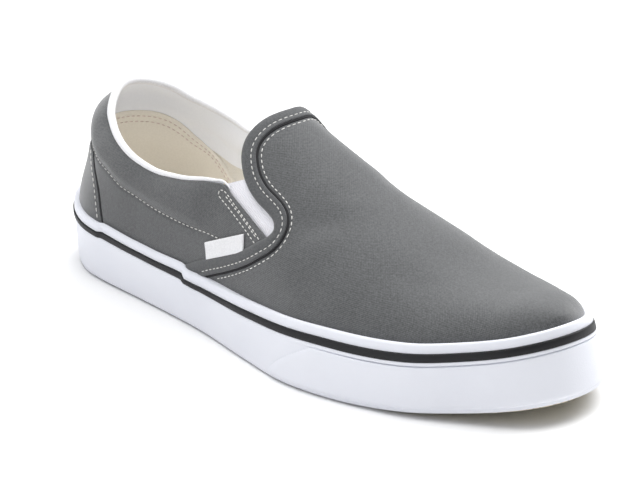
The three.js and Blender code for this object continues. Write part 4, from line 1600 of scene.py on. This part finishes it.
    def bumper(self) -> bpy.types.Object:
        """Second layer of rubber round the toe, with slanted rounded ends.

        Returns:
            The piece.
        """
        levels = np.concatenate([[0, 0.02, 0.06], np.linspace(0.12, 0.88, 9), [0.95, 0.985, 1]])
        edge = np.array([0.75, 0.3, 0.06, *([0.0] * 9), 0.03, 0.15, 0.45])
        start = LAST.turn(LAST.bumper_start + self.bumper_slant * levels**1.6)
        sections = []
        for step in np.linspace(0, 1, self.bumper_steps):
            turn = start + (FULL_TURN - 2 * start) * step
            head = self.stations(turn)["lip"] - 0.01
            share = self.bumper_foot + (head - self.bumper_foot) * levels
            end = float(smooth(min(step, 1 - step), -0.002, 0.012)) ** 0.5
            thick = LAST.bumper_thickness * (1 - edge * 0.75) * end
            out = self.outer(turn, share, LAST.recess(turn) - thick)
            back = self.outer(turn, share, LAST.recess(turn) + 0.3)
            sections.append(np.concatenate([out, back[::-1]]))
        return MeshMaker.loft("toe_guard", np.array(sections), sharp=60)

    def insole(self) -> bpy.types.Object:
        """Soft footbed that cups the heel and rises at its edge.

        Returns:
            The piece.
        """
        turn = np.arccos(1 - 2 * (0.0005 + 0.999 * np.linspace(0.0, 1.0, 130)))
        across = np.sin(np.linspace(-RIDGE, RIDGE, 46))
        share = (across + 1) / 2
        inset = WALL + 1.0
        lateral, medial = LAST.upper_foot(turn, inset), LAST.upper_foot(FULL_TURN - turn, inset)
        flat = lateral[:, None] + (medial - lateral)[:, None] * share[None, :, None]
        x = LAST.along(turn)[:, None]
        base = LAST.bed(x) + 0.3
        cup = self.heel_cup * (1 - smooth(x, 60, 150)) + 0.8
        arch = self.arch_rise * bump(x, 118, 62) * smooth(share, 0.55, 1.0)
        ends = smooth(x, 0, 22) * smooth(LENGTH - x, 0, 25)
        heel = self.heel_rise * (1 - smooth(x, 3, 34))
        rolled = self.edge_roll * (1 - smooth(1 - np.abs(across), 0, 0.03))
        height = self.insole_height + cup * np.abs(across) ** 3 * ends + arch + heel - rolled
        outer = np.concatenate([flat, (base + height)[..., None]], -1)
        inner = np.concatenate([flat, np.broadcast_to(base, height.shape)[..., None]], -1)
        return MeshMaker.slab("footbed", outer, inner)

    def build(self, dresser: "Dresser") -> None:
        """Makes and dresses the rubber and the insole, and dresses the outsole's own solid.

        Args:
            dresser: Gives each piece its finish.
        """
        dresser.dress(self.foxing(), RUBBER_WHITE, ("foxing",))
        dresser.dress(self.stripe(), RUBBER_BLACK, ("foxing_stripe",))
        dresser.dress(self.bumper(), RUBBER_WHITE, ("toe_bumper",))
        footbed = dresser.dress(self.insole(), PATCH_BEIGE, ("insole",))
        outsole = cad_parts["outsole"]
        outsole.data.materials.clear()
        outsole.data.materials.append(dresser.material(RUBBER_TREAD))


ZERO_TO_ONE = (0.0, 1.0)
Socket = bpy.types.NodeSocket


class NodeSheet:
    """Short way to add and join the nodes of a tree."""

    def __init__(self, tree: bpy.types.NodeTree) -> None:
        """Takes the tree, emptied."""
        self.tree = tree
        tree.nodes.clear()

    def add(self, kind: str, inputs: dict | None = None, **settings: object) -> bpy.types.Node:
        """New node with its settings and inputs, where an input is a value or a socket to join.

        Args:
            kind: Type of the node.
            inputs: Values or sockets, by the input's name or number.
            **settings: Properties of the node.

        Returns:
            The node.
        """
        node = self.tree.nodes.new(kind)
        for name, value in settings.items():
            setattr(node, name, value)
        for name, value in (inputs or {}).items():
            socket = node.inputs[name]
            if isinstance(value, Socket):
                self.tree.links.new(value, socket)
            else:
                socket.default_value = value
        return node

    def math(self, operation: str, a: object, b: object = 0.0) -> Socket:
        """Result of a Math node."""
        return self.add("ShaderNodeMath", {0: a, 1: b}, operation=operation).outputs[0]

    def times(self, a: object, b: object) -> Socket:
        """Product of two sockets or values."""
        return self.math("MULTIPLY", a, b)

    def total(self, first: object, *others: object) -> Socket:
        """Sum of sockets and values.

        Args:
            first: First term.
            *others: Terms to add.

        Returns:
            Socket of the sum.
        """
        for other in others:
            first = self.math("ADD", first, other)
        return first

    def wave(self, place: Socket, turns: object) -> Socket:
        """Sine of a coordinate times a number of radians a metre."""
        return self.math("SINE", self.times(place, turns))

    def noise(self, vector: object, scale: object, detail: float) -> bpy.types.NodeOutputs:
        """Outputs of a noise texture: its value, then its colour."""
        return self.add("ShaderNodeTexNoise", {"Vector": vector, "Scale": scale, "Detail": detail}).outputs

    def blend(self, share: object, a: object, b: object) -> Socket:
        """Mix of two colours, each a socket or a colour.

        Args:
            share: Share of the second colour.
            a: Colour at 0.
            b: Colour at 1.

        Returns:
            Socket of the colour.
        """
        ends = {6: a, 7: b}
        given = {i: end if isinstance(end, Socket) else (*end, 1.0) for i, end in ends.items()}
        return self.add("ShaderNodeMix", {0: share, **given}, data_type="RGBA").outputs[2]

    def span(self, value: object, to: Span, start: Span = ZERO_TO_ONE) -> Socket:
        """Value moved from one range to another."""
        inputs = {0: value, 1: start[0], 2: start[1], 3: to[0], 4: to[1]}
        return self.add("ShaderNodeMapRange", inputs).outputs[0]

    def bump(self, height: Socket, relief: float, **under: Socket) -> Socket:
        """Normal of a relief, in metres, over another Normal where one is given."""
        return self.add("ShaderNodeBump", {"Height": height, "Distance": relief, **under}).outputs[0]

    def shade(self, colour: Socket, rough: object, **levels: object) -> None:
        """Joins a Principled shader to the material's output, with levels named as its sockets are.

        Args:
            colour: Base colour.
            rough: Roughness.
            **levels: Further inputs, with underscores for spaces.
        """
        inputs = {"Base Color": colour, "Roughness": rough}
        inputs.update({name.replace("_", " "): value for name, value in levels.items()})
        shader = self.add("ShaderNodeBsdfPrincipled", inputs)
        self.add("ShaderNodeOutputMaterial", {"Surface": shader.outputs[0]})


class Effects:
    """Surface effects that several finishes share, each a node group that is built once."""

    WOBBLE_SCALE = 160.0
    WOBBLE = 0.0006
    SLUB_SCALE = 1400.0
    SLUB_STRETCH = 0.06
    THREAD_TONE = 0.22
    MOTTLE_RANGE = (0.3, 0.7)

    def __init__(self) -> None:
        """Builds the groups."""
        self.weave = self.make_weave()
        self.mottle = self.make_mottle()

    @staticmethod
    def group(
        name: str, floats: dict[str, float], outputs: list[str]
    ) -> tuple[bpy.types.NodeTree, NodeSheet]:
        """New shader node group that takes a Vector and some floats.

        Args:
            name: Name of the group.
            floats: Default of each float input, by name.
            outputs: Names of its float outputs.

        Returns:
            The group and its sheet of nodes.
        """
        tree = bpy.data.node_groups.new(name, "ShaderNodeTree")
        tree.interface.new_socket("Vector", in_out="INPUT", socket_type="NodeSocketVector")
        for socket, value in floats.items():
            made = tree.interface.new_socket(socket, in_out="INPUT", socket_type="NodeSocketFloat")
            made.default_value = value
        for socket in outputs:
            tree.interface.new_socket(socket, in_out="OUTPUT", socket_type="NodeSocketFloat")
        return tree, NodeSheet(tree)

    def make_weave(self) -> bpy.types.NodeTree:
        """Plain weave of crossing threads on a UV map in metres.

        Returns:
            The group.
        """
        tree, sheet = self.group("plain_weave", {"Threads": 2000.0, "Slub": 0.5}, ["Height", "Tone"])
        given = sheet.add("NodeGroupInput").outputs
        wobble = sheet.noise(given["Vector"], self.WOBBLE_SCALE, 1.0)["Color"]
        shift = sheet.add("ShaderNodeVectorMath", {0: wobble, 3: self.WOBBLE}, operation="SCALE").outputs[0]
        place = sheet.add("ShaderNodeVectorMath", {0: given["Vector"], 1: shift}, operation="ADD").outputs[0]
        split = sheet.add("ShaderNodeSeparateXYZ", {0: place}).outputs
        turns = sheet.times(given["Threads"], math.pi)
        crossing = sheet.times(sheet.wave(split["X"], turns), sheet.wave(split["Y"], turns))
        slubs = []
        for scale in ((1.0, self.SLUB_STRETCH, 1.0), (self.SLUB_STRETCH, 1.0, 1.0)):
            stretched = sheet.add("ShaderNodeMapping", {"Vector": place, "Scale": scale}).outputs[0]
            slubs.append(sheet.noise(stretched, self.SLUB_SCALE, 1.0)[0])
        slub = sheet.total(*slubs, -1.0)
        height = sheet.total(sheet.times(crossing, 0.5), 0.5, sheet.times(slub, given["Slub"]))
        tone = sheet.total(sheet.times(crossing, self.THREAD_TONE), slub, 0.5)
        sheet.add("NodeGroupOutput", {"Height": height, "Tone": tone})
        return tree

    def make_mottle(self) -> bpy.types.NodeTree:
        """Broad and fine unevenness on Object coordinates.

        Returns:
            The group.
        """
        tree, sheet = self.group("soft_mottle", {"Broad": 40.0, "Fine": 1300.0}, ["Broad", "Fine"])
        given = sheet.add("NodeGroupInput").outputs
        spots = {}
        for name, detail in (("Broad", 3.0), ("Fine", 2.0)):
            value = sheet.noise(given["Vector"], given[name], detail)[0]
            spots[name] = sheet.span(value, ZERO_TO_ONE, self.MOTTLE_RANGE)
        sheet.add("NodeGroupOutput", spots)
        return tree


@dataclass(frozen=True)
class Finish:
    """Surface of a piece, with what every finish starts from."""

    name: str
    tone: Colour
    second: Colour

    def start(self, effects: Effects, **values: float) -> tuple:
        """New material with its coordinates and the shared mottle.

        Args:
            effects: Shared node groups.
            values: Values of the mottle's inputs that differ from its own.

        Returns:
            The material, its sheet of nodes, its coordinates and the mottle's outputs.
        """
        material = bpy.data.materials.new(self.name)
        material.use_nodes = True
        sheet = NodeSheet(material.node_tree)
        place = sheet.add("ShaderNodeTexCoord").outputs
        inputs = {"Vector": place["Object"], **values}
        mottle = sheet.add("ShaderNodeGroup", inputs, node_tree=effects.mottle)
        return material, sheet, place, mottle.outputs


@dataclass(frozen=True)
class ClothFinish(Finish):
    """Woven cloth, from its dark to its light tone, with its threads per metre, relief and sheen."""

    threads: float = 2000.0
    relief: float = 0.00008
    slub: float = 0.3
    thread_share: float = 0.12
    broad_share: float = 0.15
    sheen: float = 0.25
    sheen_roughness: float = 0.45
    specular: float = 0.25
    roughness: Span = (0.8, 0.95)

    def build(self, effects: Effects) -> bpy.types.Material:
        """Material of the cloth, on the piece's own UV map and Object coordinates.

        Args:
            effects: Shared node groups.

        Returns:
            The material.
        """
        material, sheet, place, mottle = self.start(effects)
        inputs = {"Vector": place["UV"], "Threads": self.threads, "Slub": self.slub}
        weave = sheet.add("ShaderNodeGroup", inputs, node_tree=effects.weave).outputs
        share = sheet.total(
            sheet.times(weave["Tone"], self.thread_share),
            sheet.times(mottle["Fine"], 1 - self.broad_share - self.thread_share),
            sheet.times(mottle["Broad"], self.broad_share),
        )
        sheet.shade(
            sheet.blend(share, self.tone, self.second),
            sheet.span(mottle["Fine"], self.roughness),
            Sheen_Weight=self.sheen,
            Sheen_Roughness=self.sheen_roughness,
            Specular_IOR_Level=self.specular,
            Normal=sheet.bump(weave["Height"], self.relief),
        )
        return material


@dataclass(frozen=True)
class RubberFinish(Finish):
    """Moulded rubber with a faint mottle, a fine grain, and, where it has them, tread ribs with painted
    shade in their grooves.
    """

    grain: float = 0.00003
    grain_scale: float = 1500.0
    mottle_share: float = 0.8
    roughness: Span = (0.42, 0.58)
    specular: float = 0.45
    ribs: float = 0.0
    zigzag: float = 0.006
    groove_depth: float = 0.0006
    groove_range: Span = (-0.95, -0.35)
    # Share of the colour left in the painted shade of the grooves
    groove_shade: float = 0.72

    def build(self, effects: Effects) -> bpy.types.Material:
        """Material of the rubber, on Object coordinates.

        Args:
            effects: Shared node groups.

        Returns:
            The material.
        """
        material, sheet, place, mottle = self.start(effects, Fine=self.grain_scale)
        colour = sheet.blend(sheet.times(mottle["Broad"], self.mottle_share), self.tone, self.second)
        normal = sheet.bump(mottle["Fine"], self.grain)
        if self.ribs:
            split = sheet.add("ShaderNodeSeparateXYZ", {0: place["Object"]}).outputs
            bent = sheet.total(split["X"], sheet.math("PINGPONG", split["Y"], self.zigzag))
            groove = sheet.span(sheet.wave(bent, self.ribs * FULL_TURN), ZERO_TO_ONE, self.groove_range)
            normal = sheet.bump(groove, self.groove_depth, Normal=normal)
            # Painted shade: the colour is darkened in the grooves between the ribs
            colour = sheet.blend(groove, tuple(self.groove_shade * part for part in self.second), colour)
        rough = sheet.span(mottle["Broad"], self.roughness)
        sheet.shade(colour, rough, Specular_IOR_Level=self.specular, Normal=normal)
        return material


@dataclass(frozen=True)
class RibbedFinish(Finish):
    """Ribbed elastic, with its ribs and cross threads per metre along the UV map's U and V, and painted
    shade in their valleys.
    """

    ribs: float = 1100.0
    cross: float = 2600.0
    rib_share: float = 0.4
    cross_share: float = 0.12
    mottle_share: float = 0.2
    relief: float = 0.00012
    sheen: float = 0.2
    specular: float = 0.3
    roughness: Span = (0.7, 0.88)

    def build(self, effects: Effects) -> bpy.types.Material:
        """Material of the elastic.

        Args:
            effects: Shared node groups.

        Returns:
            The material.
        """
        material, sheet, place, mottle = self.start(effects)
        split = sheet.add("ShaderNodeSeparateXYZ", {0: place["UV"]}).outputs
        rib = sheet.times(sheet.wave(split["X"], self.ribs * FULL_TURN), self.rib_share)
        knit = sheet.times(sheet.wave(split["Y"], self.cross * FULL_TURN), self.cross_share)
        height = sheet.total(rib, knit)
        # Painted shade: the colour is darker where the ribs and cross threads lie low
        valley_shade = sheet.times(sheet.span(height, (1.0, 0.0), (-0.5, 0.5)), 1 - self.mottle_share)
        share = sheet.total(valley_shade, sheet.times(mottle["Fine"], self.mottle_share))
        sheet.shade(
            sheet.blend(share, self.tone, self.second),
            sheet.span(mottle["Fine"], self.roughness),
            Sheen_Weight=self.sheen,
            Specular_IOR_Level=self.specular,
            Normal=sheet.bump(height, self.relief),
        )
        return material


CANVAS_GREY = ClothFinish("pewter_canvas", (0.066, 0.068, 0.07), (0.14, 0.144, 0.148), 1900, sheen=0.55)
TAPE_GREY = ClothFinish("pewter_tape", (0.072, 0.074, 0.077), (0.135, 0.139, 0.143), 2300, 0.00009)
LINING_WHITE = ClothFinish("white_lining", (0.89, 0.905, 0.95), (0.93, 0.945, 0.985), 2600, 0.00003)
LINING_BEIGE = ClothFinish("beige_canvas", (0.77, 0.74, 0.68), (0.85, 0.82, 0.76), 1900, 0.00006)
PATCH_BEIGE = ClothFinish("beige_twill", (0.83, 0.785, 0.7), (0.89, 0.845, 0.76), 3000, 0.00004)
BEAD_WHITE = ClothFinish("white_piping", (0.8, 0.8, 0.82), (0.9, 0.9, 0.92), 2800, 0.00005)
LABEL_WHITE = ClothFinish("blank_label_tape", (0.78, 0.78, 0.8), (0.9, 0.9, 0.92), 3400, 0.00006)
THREAD_WHITE = ClothFinish("white_thread", (0.66, 0.65, 0.62), (0.84, 0.83, 0.8), 4000, 0.00004)
THREAD_ROSE = ClothFinish("rose_thread", (0.62, 0.5, 0.46), (0.74, 0.62, 0.58), 4000, 0.00004)
ELASTIC = RibbedFinish("gore_elastic", (0.93, 0.925, 0.97), (0.89, 0.88, 0.94))
RUBBER_WHITE = RubberFinish("white_rubber", (0.81, 0.825, 0.885), (0.79, 0.805, 0.87))
RUBBER_BLACK = RubberFinish("black_rubber", (0.012, 0.012, 0.014), (0.018, 0.018, 0.02), specular=0.3)
# Near-black matter of the strips painted as shadow beside the tape and at the stay's edges
RUBBER_SHADOW = RubberFinish("shadow_cord", (0.012, 0.012, 0.014), (0.02, 0.02, 0.022), roughness=(0.8, 0.9))
# Beige tread rubber, with painted shade in its rib grooves
RUBBER_TREAD = RubberFinish(
    "tread_rubber", (0.72, 0.66, 0.52), (0.66, 0.6, 0.46), 0.00006, roughness=(0.5, 0.7), ribs=260.0
)


class Dresser:
    """Gives pieces their finish, slot and body."""

    def __init__(self) -> None:
        """Builds the shared effects."""
        self.effects = Effects()
        self.built: dict[str, bpy.types.Material] = {}

    def material(self, finish: Finish) -> bpy.types.Material:
        """Material of a finish, built once.

        Args:
            finish: Finish wanted.

        Returns:
            The material.
        """
        if finish.name not in self.built:
            self.built[finish.name] = finish.build(self.effects)
        return self.built[finish.name]

    def dress(
        self, piece: bpy.types.Object, finish: Finish, nodes: tuple[str, ...] = ()
    ) -> bpy.types.Object:
        """Finishes a piece and fixes it to the shoe.

        Args:
            piece: The piece.
            finish: Its finish.
            nodes: Solids that it stands for.

        Returns:
            The piece.
        """
        piece.data.materials.append(self.material(finish))
        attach(piece, "root")
        if nodes:
            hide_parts(*nodes)
        LOG.info("%s: %d faces, %s", piece.name, len(piece.data.polygons), finish.name)
        return piece


@dataclass(frozen=True)
class SoftLight:
    """Square soft light, with its place and width in metres and its power in watts."""

    name: str
    place: tuple[float, float, float]
    width: float
    power: float

    def build(self, aim: Vector) -> None:
        """Adds the light, turned to a point.

        Args:
            aim: Point that the light is turned to.
        """
        data = bpy.data.lights.new(self.name, "AREA")
        data.shape = "SQUARE"
        data.size = self.width
        data.energy = self.power
        light = bpy.data.objects.new(self.name, data)
        light.location = self.place
        light.rotation_euler = (aim - Vector(self.place)).to_track_quat("-Z", "Y").to_euler()
        bpy.context.scene.collection.objects.link(light)


@dataclass(frozen=True)
class Studio:
    """Pale floor, soft lights and the camera at the photograph's angle."""

    azimuth: float = 47.45
    elevation: float = 20.78
    distance: float = 2.7397
    lens: float = 374.0
    aim: tuple[float, float, float] = (-0.001, 0.0, 0.0385)
    lights: tuple[SoftLight, ...] = (
        SoftLight("key_light", (-0.1, 1.6, 1.7), 1.8, 54.0),
        SoftLight("top_light", (-0.3, 0.0, 2.4), 2.2, 56.0),
        SoftLight("fill_light", (-0.8, -2.2, 1.0), 2.2, 10.0),
    )
    sky: Colour = (0.97, 0.98, 1.0)
    sky_strength: float = 0.32
    floor_size: float = 30.0
    floor_tones: tuple[Colour, Colour] = ((0.9, 0.9, 0.9), (0.93, 0.93, 0.93))
    floor_mottle: float = 3.0

    def build(self) -> None:
        """Adds the floor, the world, the lights and the camera."""
        self.floor()
        self.world()
        for light in self.lights:
            light.build(Vector(self.aim))
        self.camera()
        bpy.context.scene.view_settings.view_transform = "Standard"

    def floor(self) -> None:
        """Large pale floor with a faint mottle."""
        bm = bmesh.new()
        bmesh.ops.create_grid(bm, x_segments=1, y_segments=1, size=self.floor_size)
        floor = MeshMaker.finish("floor", bm)
        material = bpy.data.materials.new("pale_floor")
        material.use_nodes = True
        sheet = NodeSheet(material.node_tree)
        place = sheet.add("ShaderNodeTexCoord").outputs["Object"]
        colour = sheet.blend(sheet.noise(place, self.floor_mottle, 2.0)[0], *self.floor_tones)
        sheet.shade(colour, 0.9, Specular_IOR_Level=0.1)
        floor.data.materials.append(material)

    def world(self) -> None:
        """Even pale surroundings."""
        world = bpy.data.worlds.new("studio")
        world.use_nodes = True
        sheet = NodeSheet(world.node_tree)
        light = {"Color": (*self.sky, 1.0), "Strength": self.sky_strength}
        shader = sheet.add("ShaderNodeBackground", light)
        sheet.add("ShaderNodeOutputWorld", {"Surface": shader.outputs[0]})
        bpy.context.scene.world = world

    def camera(self) -> None:
        """Long lens at the photograph's azimuth, elevation and distance."""
        data = bpy.data.cameras.new("camera")
        data.lens = self.lens
        data.sensor_width = 36.0
        data.clip_end = 100.0
        camera = bpy.data.objects.new("camera", data)
        a, e = math.radians(self.azimuth), math.radians(self.elevation)
        back = Vector((math.sin(a) * math.cos(e), -math.cos(a) * math.cos(e), math.sin(e)))
        camera.location = Vector(self.aim) + back * self.distance
        camera.rotation_euler = (-back).to_track_quat("-Z", "Y").to_euler()
        bpy.context.scene.collection.objects.link(camera)
        bpy.context.scene.camera = camera


def main() -> None:
    """Builds, finishes and reports every piece of the shoe."""
    logging.basicConfig(level=logging.INFO, format="%(message)s")
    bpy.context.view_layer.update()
    dresser = Dresser()
    strip = EdgeStrip()
    vamp, quarters = Vamp(strip), Quarters(strip)
    vamp.build(dresser)
    quarters.build(dresser)
    white = MeshMaker.stitches("white_stitches", vamp.seams() + quarters.seams())
    dresser.dress(white, THREAD_WHITE)
    rose = MeshMaker.stitches("rose_stitches", quarters.patch_seams())
    dresser.dress(rose, THREAD_ROSE)
    Sole().build(dresser)
    Studio().build()


if __name__ == "__main__":
    main()
